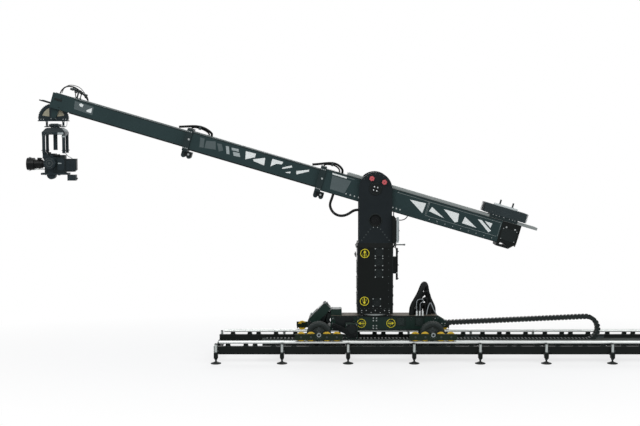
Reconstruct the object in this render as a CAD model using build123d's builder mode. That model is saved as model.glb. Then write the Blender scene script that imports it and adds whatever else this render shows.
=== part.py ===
from build123d import *
from math import asin, cos, pi, radians, sin, sqrt, tan
import os

os.makedirs("parts", exist_ok=True)

# Telescopic camera crane on a wheeled dolly and a straight two-rail track.
# Millimetres. Z = 0 is the floor, X runs along the track, and the arm's nose points to -X.

# Track
SECTION_LENGTH = 2000.0
SECTION_COUNT = 4
FOOT_PITCH = SECTION_LENGTH / 2
GAUGE = 1000.0
RAIL_D = 48.0
RAIL_WALL = 4.0
RAIL_SETBACK = 70.0
BEAM_WIDTH = 60.0
BEAM_HEIGHT = 100.0
BEAM_WALL = 5.0
BEAM_OVERHANG = 30.0
RAIL_BLOCK_HEIGHT = 37.0
RAIL_BLOCK_LENGTH = 70.0
RAIL_BLOCK_WIDTH = 30.0
RAIL_BLOCK_STATIONS = (0.18, 0.45, 0.59, 0.87)
JOINT_GAP = 0.4
TIE_HEIGHT = 40.0
TIE_WIDTH = 50.0
PAD_R = 77.5
PAD_RIM = 6.0
PAD_HEIGHT = 34.0
SCREW_R = 14.0
HOUSING_SIDE = 63.0
HOUSING_BOTTOM = 72.0
HOUSING_TOP = 163.0
HOUSING_CHAMFER = 14.0
POST_R = 21.5
POST_TOP = 301.0
TRACK_START = -2423.0

# Energy chain and its tray
CHAIN_WIDTH = 120.0
CHAIN_HEIGHT = 70.0
CHAIN_PITCH = 56.0
CHAIN_NOTCH = 9.0
CHAIN_BEND_R = 188.0
CHAIN_BEND_X = 3287.0
CHAIN_BEND_Z = 441.0
CHAIN_REAR_DROP = 100.0
CHAIN_FIXED_X = -1700.0
CHAIN_CLEARANCE = 0.3
TRAY_WALL = 3.0
TRAY_LIP = 60.0
TRAY_SIDE_GAP = 8.0
TRAY_START = -1750.0

# Dolly
WHEELBASE = 1730.0
AXLE_Z = 435.0
TRACK_WHEEL_R = 70.0
TRACK_WHEEL_GROOVE_SLOPE = 0.42
TRACK_WHEEL_WIDTH = 44.0
TRACK_WHEEL_BORE_R = 14.0
TRACK_WHEEL_OFFSETS = (-270.0, -120.0, 120.0, 270.0)
ROLLING_GAP = 0.3
SPIN_CLEARANCE = 0.06
BOGIE_LENGTH = 720.0
BOGIE_HEIGHT = 94.0
BOGIE_TOP_Z = 451.0
BOGIE_PLATE = 22.0
BOGIE_PLATE_Y = 543.0
BOGIE_CORNER = 26.0
STUB_R = 26.0
STUB_HUB_R = 38.0
TYRE_R = 186.0
TYRE_BEAD_R = 124.0
TYRE_WIDTH = 100.0
TYRE_Y = 410.0
TYRE_SHOULDER = 16.0
RIM_DISC = 16.0
CHASSIS_BOTTOM = 430.0
CHASSIS_TOP = 662.0
CHASSIS_FRONT = 183.0 - WHEELBASE / 2
CHASSIS_REAR = WHEELBASE / 2 + 107.0
CHASSIS_HALF_WIDTH = 150.0
CHASSIS_NECK_TOP = 500.0
CHASSIS_NECK = 250.0
CHASSIS_FLANGE = 24.0
CHASSIS_FLANGE_PROUD = 12.0
PANEL_RECESS = 6.0
PANEL_BACKS = (572.0, 282.0)
AXLE_BEAM_SIDE = 90.0
CONSOLE_LENGTH = 360.0
CONSOLE_DEPTH = 130.0
CONSOLE_WIDTH = 260.0
CONSOLE_X = 15.0 - WHEELBASE / 2
CONSOLE_Z = 684.0
DRIVE_LENGTH = 190.0
DRIVE_WIDTH = 120.0
DRIVE_HEIGHT = 240.0
DRIVE_Z = 440.0
LOOM_D = 84.0

# Turntable and column
SLEW_RING_R = 215.0
SLEW_RING_BORE_R = 120.0
SLEW_RING_HEIGHT = 14.0
SLEW_GAP = 0.3
COLUMN_HALF_LENGTH = 275.0
COLUMN_HALF_WIDTH = 215.0
COLUMN_TOP = 1728.0
COLUMN_WALL = 12.0
COLUMN_CORNER = 14.0
LIP_HEIGHT = 69.0
LIP_PROUD = 24.0
CHEEK_THICKNESS = 45.0
CHEEK_R = 254.0
CHEEK_HOLE_R = 92.0
CHEEK_HOLE_DROP = 486.0
COVER_SIDE = 137.0
COVER_PLATE = 8.0
COVER_BOSS_R = 46.0
COVER_BOSS = 22.0
CABINET_LENGTH = 62.0
CABINET_HEIGHT = 417.5
CABINET_WIDTH = 125.0
CABINET_Y = -227.5
CABINET_TOP_Z = 2215.0
CABINET_DOOR = 38.0
LEVER_R = 11.0
LEVER_LENGTH = 145.0
LEVER_HUB_R = 22.0

# Arm, in its own side plane: s runs from the pivot to the nose, h stands square to it
ARM_TILT = 16.4
PIVOT_Z = 2630.0
PIVOT_R = 45.0
PIVOT_FLANGE_R = 98.0
PIVOT_CAP = 14.0
SPIN_GAP = 0.5
ARM_DROP = 95.7
OUTER_WIDTH, OUTER_HEIGHT, OUTER_WALL = 300.0, 345.0, 10.0
MID_WIDTH, MID_HEIGHT, MID_WALL = 255.0, 300.0, 8.0
INNER_WIDTH, INNER_HEIGHT, INNER_WALL = 210.0, 257.0, 8.0
OUTER_REAR, OUTER_FRONT = -2020.0, 800.0
MID_REAR, MID_FRONT = 350.0, 2920.0
INNER_REAR, INNER_FRONT = 2450.0, 4820.0
TUBE_CORNER = 10.0
EDGE_RIB_HEIGHT = 20.0
EDGE_RIB_PROUD = 7.0
COLLAR_LENGTH = 90.0
COLLAR_PROUD = 26.0
COLLAR_CLEARANCE = 0.3
ROLLER_BLOCK_LENGTH = 160.0
ROLLER_BLOCK_DROP = 105.0
ROLLER_BLOCK_WIDTH = 150.0
LOBE_SPLIT = 6.0
REAR_HOUSING_LENGTH = 300.0
REAR_HOUSING_DROP = 48.0
TAIL_SLOPE = 100.0
HAND_SLOT_SETBACK = 95.0
HAND_SLOT_RISE = 44.0
HAND_SLOT_LENGTH = 100.0
HAND_SLOT_HEIGHT = 34.0
KNOB_R = 39.0
KNOB_LENGTH = 46.0
KNOB_NECK_R = 20.0
KNOB_NECK_LENGTH = 16.0
KNOB_LOBE_R = 9.0
KNOB_REACH = 168.0
KNOB_SPREAD = 36.5

# Counterweight
WEIGHT_RAIL_FRONT, WEIGHT_RAIL_REAR = 470.0, -2570.0
WEIGHT_RAIL_SIDE = 42.0
WEIGHT_RAIL_Y = 95.0
WEIGHT_MIDDLE = -2025.0
WEIGHT_LENGTH = 700.0
WEIGHT_WIDTH = 300.0
WEIGHT_PLATE = 20.0
WEIGHT_PLATE_GAP = 0.4
WEIGHT_COUNT = 7
CARRIAGE_LENGTH = 440.0
CARRIAGE_PLATE = 16.0
CARRIAGE_CLEARANCE = 0.5
CARRIAGE_GUIDE_DEPTH = 36.0
PLATE_STAGGER = 6.0
CLAMP_SPACING = 200.0
CLAMP_ROD_R = 13.0
CLAMP_ROD_TOP = 72.0
CLAMP_ROD_CLEARANCE = 0.3
CLAMP_SLAB = 28.0
CLAMP_SLAB_LENGTH = 350.0
CLAMP_SLAB_WIDTH = 210.0

# Levelling head and camera
NOSE_END = 5135.0
NOSE_BLOCK_REAR = 4975.0
NOSE_BLOCK_LOW, NOSE_BLOCK_HIGH = -122.0, -62.0
LEVEL_S, LEVEL_H = 5044.0, -374.0
SECTOR_R = 228.0
SECTOR_TEETH = 26
TOOTH_HEIGHT = 9.0
SECTOR_THICKNESS = 44.0
SECTOR_FLAT = -24.0
SECTOR_RIM = 36.0
SECTOR_WEB = 120.0
WINDOW_RECESS = 10.0
FORK_PLATE = 16.0
FORK_GAP = 2.0
LEVEL_PIN_R = 16.0
HANGER_EYE_R = 23.0
HANGER_HALF_WIDTH = 30.0
LEVEL_PIN_PROUD = 6.0
HEAD_OFFSET = 22.0
ROD_SPACING = 254.0
ROD_R = 17.0
HANGER_PLATE = 14.0
HANGER_WIDTH = 150.0
HANGER_DROP = 105.0
MOTOR_BLOCK_HEIGHT = 33.0
MOTOR_BLOCK_WIDTH = 100.0
CAP_TOP_HALF = 115.0
MOTOR_BLOCK_HALF = 88.0
CAP_HALF = 176.0
CAP_DROP = 243.0
CAP_RIM = 40.0
PAN_GAP = 0.3
PAN_RING_R = 70.0
PAN_RING_HEIGHT = 8.0
POST_SPACING_X = 306.0
POST_SPACING_Y = 240.0
CAGE_POST_R = 24.0
CAGE_POST_LENGTH = 282.0
MIDDLE_POST_R = 32.0
MIDDLE_POST_LENGTH = 236.0
POST_RING = 9.0
POST_RING_DROP = 240.0
TILT_AXIS_X = -63.0
TILT_AXIS_DROP = 679.0
TILT_DRUM_R = 90.0
TILT_DRUM_LENGTH = 62.0
TILT_DRUM_CHAMFER = 12.0
FORK_ARM = 24.0
TRUNNION_R = 20.0
TRUNNION_END_GAP = 0.3
FORK_CLEARANCE = 6.0
CRADLE_ARM = 10.0
CAMERA_SIDE_GAP = 0.2
PIECE_GAP = 0.2
CAMERA_WIDTH = 150.0
CAMERA_FRONT, CAMERA_REAR = -159.0, 154.0
CAMERA_TOP_RISE = 146.0
CAMERA_BOTTOM_DROP = 150.0
MAGAZINE_LENGTH = 170.0
MAGAZINE_TOP_RISE = 66.0
MAGAZINE_BOTTOM_DROP = 134.0
MAGAZINE_WIDTH = 110.0
MAGAZINE_CORNER = 32.0
CAMERA_STEP = 22.0
CAMERA_EDGE = 8.0
LENS_R = 68.0
LENS_LENGTH = 168.0
LENS_MOUNT_R = 52.0
LENS_MOUNT_LENGTH = 40.0
HOOD_R = 95.0
HOOD_LENGTH = 110.0
HOOD_WALL = 5.0
LENS_AXIS_DROP = 14.0
CRADLE_PLATE = 30.0
CRADLE_FRONT, CRADLE_REAR = -216.0, 207.0
CRADLE_ROUND_R = 70.0
CRADLE_ROUND_WIDTH = 90.0
POWER_BOX_LENGTH = 130.0
POWER_BOX_HEIGHT = 90.0
POWER_BOX_WIDTH = 100.0
POWER_BOX_OVERLAP = 22.0

# Cables held at both ends
HOOP_D = 37.0
ARM_LOOP_D = 41.0

# Derived places
RAIL_TOP = 340.0
RAIL_Z = RAIL_TOP - RAIL_D / 2
BEAM_TOP = RAIL_TOP - RAIL_D - RAIL_BLOCK_HEIGHT
BEAM_Z = BEAM_TOP - BEAM_HEIGHT / 2
BEAM_BOTTOM = BEAM_TOP - BEAM_HEIGHT
FOOT_COUNT = 2 * SECTION_COUNT + 1
JACK_Y = GAUGE / 2 + BEAM_WIDTH / 2 + HOUSING_SIDE / 2
TILT_COS, TILT_SIN = cos(radians(ARM_TILT)), sin(radians(ARM_TILT))
LEVEL_DX = -LEVEL_S * TILT_COS + LEVEL_H * TILT_SIN
LEVEL_Z = PIVOT_Z + LEVEL_S * TILT_SIN + LEVEL_H * TILT_COS
HOOD_DX = LEVEL_DX + HEAD_OFFSET + CAMERA_FRONT - PIECE_GAP - LENS_LENGTH - HOOD_LENGTH
TRACK_END = TRACK_START + SECTION_COUNT * SECTION_LENGTH + PAD_R
# The slew axis stands where the middle of the whole crane's length falls on X = 0.
SLEW_X = -(HOOD_DX + TRACK_END) / 2
LEVEL_X = SLEW_X + LEVEL_DX
HEAD_X = LEVEL_X + HEAD_OFFSET
PIVOT = (SLEW_X, 0, PIVOT_Z)


def save(part, name):
    """Names one finished sub-part and writes it."""
    part.label = name
    export_step(part, f"parts/{name}.step")


def foot_xs():
    """The stations of the levelling feet along the track."""
    return [SLEW_X + TRACK_START + n * FOOT_PITCH for n in range(FOOT_COUNT)]


def section_spans():
    """Start and end of each track section."""
    starts = [SLEW_X + TRACK_START + n * SECTION_LENGTH for n in range(SECTION_COUNT)]
    spans = [[x + JOINT_GAP / 2, x + SECTION_LENGTH - JOINT_GAP / 2] for x in starts]
    spans[0][0] -= BEAM_OVERHANG
    spans[-1][1] += BEAM_OVERHANG
    return spans


def arm_side(y=0.0):
    """The arm's side plane: local x runs to the nose, local y stands square to the arm."""
    origin = (PIVOT[0], y, PIVOT[2])
    return Plane(origin=origin, x_dir=(-TILT_COS, 0, TILT_SIN), z_dir=(0, 1, 0))


def arm_point(s, h, y=0.0):
    """The place of an arm point in the crane's frame."""
    return (
        PIVOT[0] - s * TILT_COS + h * TILT_SIN,
        y,
        PIVOT[2] + s * TILT_SIN + h * TILT_COS,
    )


def arm_section(s, h=0.0):
    """A cross-section plane of the arm at s, with local y standing square to the arm."""
    direction = (-TILT_COS, 0, TILT_SIN)
    return Plane(origin=arm_point(s, h), x_dir=(0, -1, 0), z_dir=direction)


def level_side(x, z, y=0.0):
    """A vertical side plane whose local x runs to the rear and local y runs up."""
    return Plane(origin=(x, y, z), x_dir=(1, 0, 0), z_dir=(0, -1, 0))


# Rails: one hollow tube a side in each section, butted together
with BuildPart() as track_rails:
    for start, end in section_spans():
        first = start if start > SLEW_X + TRACK_START else start + RAIL_SETBACK
        for side in (-1, 1):
            with BuildSketch(Plane((first, side * GAUGE / 2, RAIL_Z), x_dir=(0, 1, 0), z_dir=(1, 0, 0))):
                Circle(RAIL_D / 2)
                Circle(RAIL_D / 2 - RAIL_WALL, mode=Mode.SUBTRACT)
            extrude(amount=end - first)
save(track_rails.part, "track_rails")

# Beams: a box tube under each rail with the welded blocks that carry the rail
with BuildPart() as track_beams:
    for start, end in section_spans():
        for side in (-1, 1):
            with BuildSketch(Plane((start, side * GAUGE / 2, BEAM_Z), x_dir=(0, 1, 0), z_dir=(1, 0, 0))):
                Rectangle(BEAM_WIDTH, BEAM_HEIGHT)
                Rectangle(BEAM_WIDTH - 2 * BEAM_WALL, BEAM_HEIGHT - 2 * BEAM_WALL, mode=Mode.SUBTRACT)
            extrude(amount=end - start)
    for foot in foot_xs()[:-1]:
        for station in RAIL_BLOCK_STATIONS:
            with Locations(*((foot + station * FOOT_PITCH, side * GAUGE / 2, BEAM_TOP) for side in (-1, 1))):
                Box(
                    RAIL_BLOCK_LENGTH,
                    RAIL_BLOCK_WIDTH,
                    RAIL_BLOCK_HEIGHT,
                    align=(Align.CENTER, Align.CENTER, Align.MIN),
                )
    for side in (-1, 1):
        for start, end in section_spans():
            first = start if start > SLEW_X + TRACK_START else start + RAIL_SETBACK
            with BuildSketch(
                Plane((first, side * GAUGE / 2, RAIL_Z), x_dir=(0, 1, 0), z_dir=(1, 0, 0)),
                mode=Mode.PRIVATE,
            ) as rail_seat:
                Circle(RAIL_D / 2)
            extrude(rail_seat.sketch, amount=end - first, mode=Mode.SUBTRACT)
save(track_beams.part, "track_beams")

# Cross ties under the beams, each with a saddle that carries the cable tray
TRAY_FLOOR_Z = CHAIN_BEND_Z - CHAIN_BEND_R - CHAIN_HEIGHT / 2 - CHAIN_CLEARANCE - TRAY_WALL
TRAY_HALF = CHAIN_WIDTH / 2 + TRAY_SIDE_GAP
with BuildPart() as cross_ties:
    with Locations(*((x, 0, BEAM_BOTTOM) for x in foot_xs())):
        Box(
            TIE_WIDTH,
            GAUGE + BEAM_WIDTH,
            TIE_HEIGHT,
            align=(Align.CENTER, Align.CENTER, Align.MAX),
        )
        Box(
            TIE_WIDTH,
            2 * TRAY_HALF,
            TRAY_FLOOR_Z - BEAM_BOTTOM,
            align=(Align.CENTER, Align.CENTER, Align.MIN),
        )
save(cross_ties.part, "cross_ties")

JACK_PLACES = [(x, side * JACK_Y) for x in foot_xs() for side in (-1, 1)]

# Jack sleeves: the plain tubes that stand beside the beams
with BuildPart() as jack_posts:
    with Locations(*((x, y, HOUSING_TOP) for x, y in JACK_PLACES)):
        Cylinder(POST_R, POST_TOP - HOUSING_TOP, align=(Align.CENTER, Align.CENTER, Align.MIN))
save(jack_posts.part, "jack_posts")

# Jack housings: square nuts with a chamfered foot and a bore for the screw
with BuildPart() as jack_housings:
    with Locations(*((x, y, HOUSING_BOTTOM) for x, y in JACK_PLACES)):
        Box(
            HOUSING_SIDE,
            HOUSING_SIDE,
            HOUSING_TOP - HOUSING_BOTTOM,
            align=(Align.CENTER, Align.CENTER, Align.MIN),
        )
    chamfer(jack_housings.edges().filter_by(GeomType.LINE).group_by(Axis.Z)[0], HOUSING_CHAMFER)
save(jack_housings.part, "jack_housings")

# Jack feet: a conical pad and its screw in one turning
with BuildPart() as jack_foot:
    with BuildSketch(Plane.XZ):
        with BuildLine():
            Polyline(
                (0, 0),
                (PAD_R, 0),
                (PAD_R, PAD_RIM),
                (SCREW_R, PAD_HEIGHT),
                (SCREW_R, HOUSING_BOTTOM),
                (0, HOUSING_BOTTOM),
                close=True,
            )
        make_face()
    revolve(axis=Axis.Z)
with BuildPart() as jack_feet:
    with Locations(*((x, y, 0) for x, y in JACK_PLACES)):
        add(jack_foot.part)
save(jack_feet.part, "jack_feet")

# Cable tray between the rails: an open channel from the fixed end to the track's end
TRAY_END = SLEW_X + TRACK_START + SECTION_COUNT * SECTION_LENGTH
with BuildPart() as cable_tray:
    tray_plane = Plane((SLEW_X + TRAY_START, 0, TRAY_FLOOR_Z), x_dir=(0, 1, 0), z_dir=(1, 0, 0))
    with BuildSketch(tray_plane):
        Rectangle(
            2 * TRAY_HALF,
            TRAY_LIP,
            align=(Align.CENTER, Align.MIN),
        )
        with Locations((0, TRAY_WALL)):
            Rectangle(
                2 * (TRAY_HALF - TRAY_WALL),
                TRAY_LIP,
                align=(Align.CENTER, Align.MIN),
                mode=Mode.SUBTRACT,
            )
    extrude(amount=TRAY_END - SLEW_X - TRAY_START)
save(cable_tray.part, "cable_tray")


def chain_run(length, notched=CHAIN_NOTCH):
    """The side outline of a straight chain run: link bodies with a vee between neighbours."""
    links = max(1, round(length / CHAIN_PITCH))
    pitch = length / links
    top = [(0.0, CHAIN_HEIGHT / 2)]
    for n in range(1, links):
        joint = n * pitch
        top += [
            (joint - notched, CHAIN_HEIGHT / 2),
            (joint, CHAIN_HEIGHT / 2 - notched),
            (joint + notched, CHAIN_HEIGHT / 2),
        ]
    top.append((length, CHAIN_HEIGHT / 2))
    return top + [(x, -z) for x, z in reversed(top)]


# Lower run of the energy chain, lying in the tray
LOWER_RUN_Z = CHAIN_BEND_Z - CHAIN_BEND_R
with BuildPart() as chain_lower_run:
    with BuildSketch(level_side(SLEW_X + CHAIN_FIXED_X, LOWER_RUN_Z)):
        Polygon(*chain_run(CHAIN_BEND_X - CHAIN_FIXED_X), align=None)
    extrude(amount=CHAIN_WIDTH / 2, both=True)
save(chain_lower_run.part, "chain_lower_run")

# Upper run, which slopes down to its bracket at the back of the dolly
UPPER_RUN_Z = CHAIN_BEND_Z + CHAIN_BEND_R
BRACKET_X = CHASSIS_REAR + 60.0
RUN_DX = CHAIN_BEND_X - BRACKET_X
RUN_LENGTH = sqrt(RUN_DX**2 + CHAIN_REAR_DROP**2)
UPPER_RUN_SLOPE = asin(CHAIN_REAR_DROP / RUN_LENGTH)
with BuildPart() as chain_upper_run:
    run_dir = (cos(UPPER_RUN_SLOPE), 0, sin(UPPER_RUN_SLOPE))
    run_origin = (SLEW_X + BRACKET_X, 0, UPPER_RUN_Z - CHAIN_REAR_DROP)
    with BuildSketch(Plane(origin=run_origin, x_dir=run_dir, z_dir=(0, -1, 0))):
        Polygon(*chain_run(RUN_LENGTH - CHAIN_HEIGHT * tan(UPPER_RUN_SLOPE)), align=None)
    extrude(amount=CHAIN_WIDTH / 2, both=True)
save(chain_upper_run.part, "chain_upper_run")


# Loop: the links swing round the bend radius from the lower run to the upper run
LOOP_LINKS = max(3, round(pi * CHAIN_BEND_R / CHAIN_PITCH))
with BuildPart() as chain_loop:
    outer_r, inner_r = CHAIN_BEND_R + CHAIN_HEIGHT / 2, CHAIN_BEND_R - CHAIN_HEIGHT / 2
    step = pi / LOOP_LINKS
    outline = []
    for n in range(LOOP_LINKS):
        angle = -pi / 2 + n * step
        land = CHAIN_NOTCH / outer_r
        if n:
            outline.append((outer_r * cos(angle + land), outer_r * sin(angle + land)))
        else:
            outline.append((0, -outer_r))
        if n < LOOP_LINKS - 1:
            after = angle + step
            outline.append((outer_r * cos(after - land), outer_r * sin(after - land)))
            outline.append(((outer_r - CHAIN_NOTCH) * cos(after), (outer_r - CHAIN_NOTCH) * sin(after)))
    outline.append((0, outer_r))
    inner = [
        (inner_r * cos(pi / 2 - n * step), inner_r * sin(pi / 2 - n * step)) for n in range(LOOP_LINKS + 1)
    ]
    with BuildSketch(level_side(SLEW_X + CHAIN_BEND_X, CHAIN_BEND_Z)):
        Polygon(*outline, *inner, align=None)
    extrude(amount=CHAIN_WIDTH / 2, both=True)
save(chain_loop.part, "chain_loop")

# Chassis: a box frame with a low neck in front, a bolted middle flange and recessed panels
NECK_X = CHASSIS_FRONT - CHASSIS_NECK
with BuildPart() as chassis:
    with BuildSketch(level_side(SLEW_X, 0)):
        with BuildLine():
            Polyline(
                (NECK_X, CHASSIS_BOTTOM),
                (CHASSIS_REAR, CHASSIS_BOTTOM),
                (CHASSIS_REAR, CHASSIS_TOP),
                (CHASSIS_FRONT, CHASSIS_TOP),
                (CHASSIS_FRONT, CHASSIS_NECK_TOP),
                (NECK_X, CHASSIS_NECK_TOP),
                close=True,
            )
        make_face()
    extrude(amount=CHASSIS_HALF_WIDTH, both=True)
    with Locations((SLEW_X, 0, (CHASSIS_BOTTOM + CHASSIS_TOP) / 2)):
        Box(
            CHASSIS_FLANGE,
            2 * (CHASSIS_HALF_WIDTH + CHASSIS_FLANGE_PROUD),
            CHASSIS_TOP - CHASSIS_BOTTOM,
        )
    for side in (-1, 1):
        face_y = side * (CHASSIS_HALF_WIDTH - PANEL_RECESS / 2)
        with Locations(*((SLEW_X + CHASSIS_REAR - back, face_y, 575) for back in PANEL_BACKS)):
            Box(130, PANEL_RECESS, 125, mode=Mode.SUBTRACT)
    for axle in (-WHEELBASE / 2, WHEELBASE / 2):
        with Locations((SLEW_X + axle, 0, AXLE_Z)):
            Box(
                AXLE_BEAM_SIDE,
                3 * CHASSIS_HALF_WIDTH,
                AXLE_BEAM_SIDE,
                mode=Mode.SUBTRACT,
            )
save(chassis.part, "chassis")

# Axle beams: a square beam through the chassis with round stubs for the wheels and bogies
BEAM_HALF_WIDTH = TYRE_Y - TYRE_WIDTH / 2 - 14.0
with BuildPart() as axle_beams:
    for axle in (-WHEELBASE / 2, WHEELBASE / 2):
        with Locations((SLEW_X + axle, 0, AXLE_Z)):
            Box(AXLE_BEAM_SIDE, 2 * BEAM_HALF_WIDTH, AXLE_BEAM_SIDE)
            Cylinder(STUB_R, 2 * (BOGIE_PLATE_Y + BOGIE_PLATE), rotation=(90, 0, 0))
save(axle_beams.part, "axle_beams")

# Road wheels: a tyre with square shoulders on a dished disc
ROAD_WHEELS = {
    "front_near": (-1, -1),
    "front_far": (-1, 1),
    "rear_near": (1, -1),
    "rear_far": (1, 1),
}
for place, (end, side) in ROAD_WHEELS.items():
    centre = (SLEW_X + end * WHEELBASE / 2, side * TYRE_Y, AXLE_Z)
    with BuildPart() as road_wheel:
        with BuildSketch(Plane(centre, x_dir=(1, 0, 0), z_dir=(0, 0, 1))):
            with BuildLine():
                Polyline(
                    (TYRE_BEAD_R, -TYRE_WIDTH / 2 + TYRE_SHOULDER / 2),
                    (TYRE_R - TYRE_SHOULDER, -TYRE_WIDTH / 2),
                    (TYRE_R, -TYRE_WIDTH / 2 + TYRE_SHOULDER),
                    (TYRE_R, TYRE_WIDTH / 2 - TYRE_SHOULDER),
                    (TYRE_R - TYRE_SHOULDER, TYRE_WIDTH / 2),
                    (TYRE_BEAD_R, TYRE_WIDTH / 2 - TYRE_SHOULDER / 2),
                    close=True,
                )
            make_face()
        revolve(axis=Axis(centre, (0, 1, 0)))
        with Locations(Location(centre, (90, 0, 0))):
            Cylinder(TYRE_BEAD_R, RIM_DISC)
            Cylinder(STUB_HUB_R, TYRE_WIDTH)
            Hole(STUB_R + SPIN_CLEARANCE)
    save(road_wheel.part, f"road_wheel_{place}")

# Bogie frames: outer side plates with pins for four grooved wheels and a hub on the stub axle
WHEEL_ROOT_R = TRACK_WHEEL_R - TRACK_WHEEL_GROOVE_SLOPE * TRACK_WHEEL_WIDTH / 2
GROOVE_ANGLE = 1 / sqrt(1 + TRACK_WHEEL_GROOVE_SLOPE**2)
WHEEL_AXLE_Z = RAIL_Z + (RAIL_D / 2 + ROLLING_GAP) / GROOVE_ANGLE + WHEEL_ROOT_R
WHEEL_GAP = 1.0
with BuildPart() as bogie_frames:
    for axle in (-WHEELBASE / 2, WHEELBASE / 2):
        for side in (-1, 1):
            plate_y = side * (BOGIE_PLATE_Y + BOGIE_PLATE / 2)
            with BuildSketch(level_side(SLEW_X + axle, BOGIE_TOP_Z - BOGIE_HEIGHT / 2, plate_y)):
                with BuildLine():
                    half_l, half_h = BOGIE_LENGTH / 2, BOGIE_HEIGHT / 2
                    Polyline(
                        (-half_l + BOGIE_CORNER, -half_h),
                        (half_l - BOGIE_CORNER, -half_h),
                        (half_l, -half_h + BOGIE_CORNER),
                        (half_l, half_h),
                        (-half_l, half_h),
                        (-half_l, -half_h + BOGIE_CORNER),
                        close=True,
                    )
                make_face()
            extrude(amount=BOGIE_PLATE / 2, both=True)
            with Locations(Location((SLEW_X + axle, plate_y, AXLE_Z), (90, 0, 0))):
                Cylinder(STUB_R, 3 * BOGIE_PLATE, mode=Mode.SUBTRACT)
            pin_inner = GAUGE / 2 - TRACK_WHEEL_WIDTH / 2 - WHEEL_GAP
            pin_length = BOGIE_PLATE_Y - pin_inner
            pin_y = side * (pin_inner + pin_length / 2)
            for offset in TRACK_WHEEL_OFFSETS:
                with Locations(Location((SLEW_X + axle + offset, pin_y, WHEEL_AXLE_Z), (90, 0, 0))):
                    Cylinder(TRACK_WHEEL_BORE_R - SPIN_CLEARANCE, pin_length)
save(bogie_frames.part, "bogie_frames")

# Track wheels: each node holds the near and the far wheel that share one axle line
AXLE_LINES = [end * WHEELBASE / 2 + offset for end in (-1, 1) for offset in TRACK_WHEEL_OFFSETS]
for number, line in enumerate(AXLE_LINES, start=1):
    with BuildPart() as track_wheels:
        for side in (-1, 1):
            centre = (SLEW_X + line, side * GAUGE / 2, WHEEL_AXLE_Z)
            with BuildSketch(Plane(centre, x_dir=(1, 0, 0), z_dir=(0, 0, 1))):
                with BuildLine():
                    Polyline(
                        (TRACK_WHEEL_BORE_R, -TRACK_WHEEL_WIDTH / 2),
                        (TRACK_WHEEL_R, -TRACK_WHEEL_WIDTH / 2),
                        (WHEEL_ROOT_R, 0),
                        (TRACK_WHEEL_R, TRACK_WHEEL_WIDTH / 2),
                        (TRACK_WHEEL_BORE_R, TRACK_WHEEL_WIDTH / 2),
                        close=True,
                    )
                make_face()
            revolve(axis=Axis(centre, (0, 1, 0)))
    save(track_wheels.part, f"track_wheels_{number}")

# Boxes on the dolly: tilted control console, junction box and the drive unit under the frame
with BuildPart() as dolly_boxes:
    console_plane = Plane(
        origin=(SLEW_X + CONSOLE_X, 0, CONSOLE_Z),
        x_dir=(cos(radians(45)), 0, sin(radians(45))),
        z_dir=(0, -1, 0),
    )
    with BuildSketch(console_plane):
        RectangleRounded(CONSOLE_LENGTH, CONSOLE_DEPTH, 12)
    extrude(amount=CONSOLE_WIDTH / 2, both=True)
    with Locations((SLEW_X + CHASSIS_FRONT + 85, 0, CHASSIS_TOP)):
        Box(170, 220, 90, align=(Align.CENTER, Align.CENTER, Align.MIN))
    with Locations((SLEW_X + CONSOLE_X + 4, 0, CHASSIS_NECK_TOP)):
        Box(110, 160, 110, align=(Align.CENTER, Align.CENTER, Align.MIN))
    drive_y = -CHASSIS_HALF_WIDTH - DRIVE_WIDTH / 2
    with Locations((SLEW_X - 362, drive_y, DRIVE_Z)):
        Box(DRIVE_LENGTH, DRIVE_WIDTH, DRIVE_HEIGHT)
save(dolly_boxes.part, "dolly_boxes")

# Chain bracket: the upper run's last links are clamped between two plates on the chassis
with BuildPart() as chain_bracket:
    with BuildSketch(level_side(SLEW_X + CHASSIS_REAR, 0)):
        with BuildLine():
            Polyline(
                (0, CHASSIS_BOTTOM + 20),
                (BRACKET_X - CHASSIS_REAR + 80, UPPER_RUN_Z - CHAIN_REAR_DROP - 20),
                (BRACKET_X - CHASSIS_REAR + 80, UPPER_RUN_Z - CHAIN_REAR_DROP + 34),
                (0, CHASSIS_TOP - 14),
                close=True,
            )
        make_face()
    extrude(amount=CHAIN_WIDTH / 2 + 12, both=True)
    with Locations((SLEW_X + BRACKET_X, 0, UPPER_RUN_Z - CHAIN_REAR_DROP)):
        Box(
            2 * (BRACKET_X - CHASSIS_REAR) + 400,
            CHAIN_WIDTH + 2 * CHAIN_CLEARANCE,
            4 * CHAIN_HEIGHT,
            mode=Mode.SUBTRACT,
        )
save(chain_bracket.part, "chain_bracket")


def cable(route, diameter, name):
    """A cable along straight runs joined by arcs as large as the runs allow."""
    points = [Vector(*p) for p in route]
    runs = [b - a for a, b in zip(points, points[1:])]
    radii = []
    for before, after in zip(runs, runs[1:]):
        turn = radians(before.get_angle(after))
        radii.append(0.45 * min(before.length, after.length) / tan(turn / 2))
    print(name, "bend radii", [round(r) for r in radii])
    with BuildPart() as tube:
        with BuildLine() as path:
            FilletPolyline(*points, radius=radii)
        wire = path.wires()[0]
        with BuildSketch(Plane(origin=wire @ 0, z_dir=wire % 0)):
            Circle(diameter / 2)
        sweep(path=wire)
    length = wire.length
    fill = tube.part.volume / (pi * diameter**2 / 4 * length)
    print(name, "length", round(length), "volume over section times length", round(fill, 4))
    return tube.part


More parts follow.
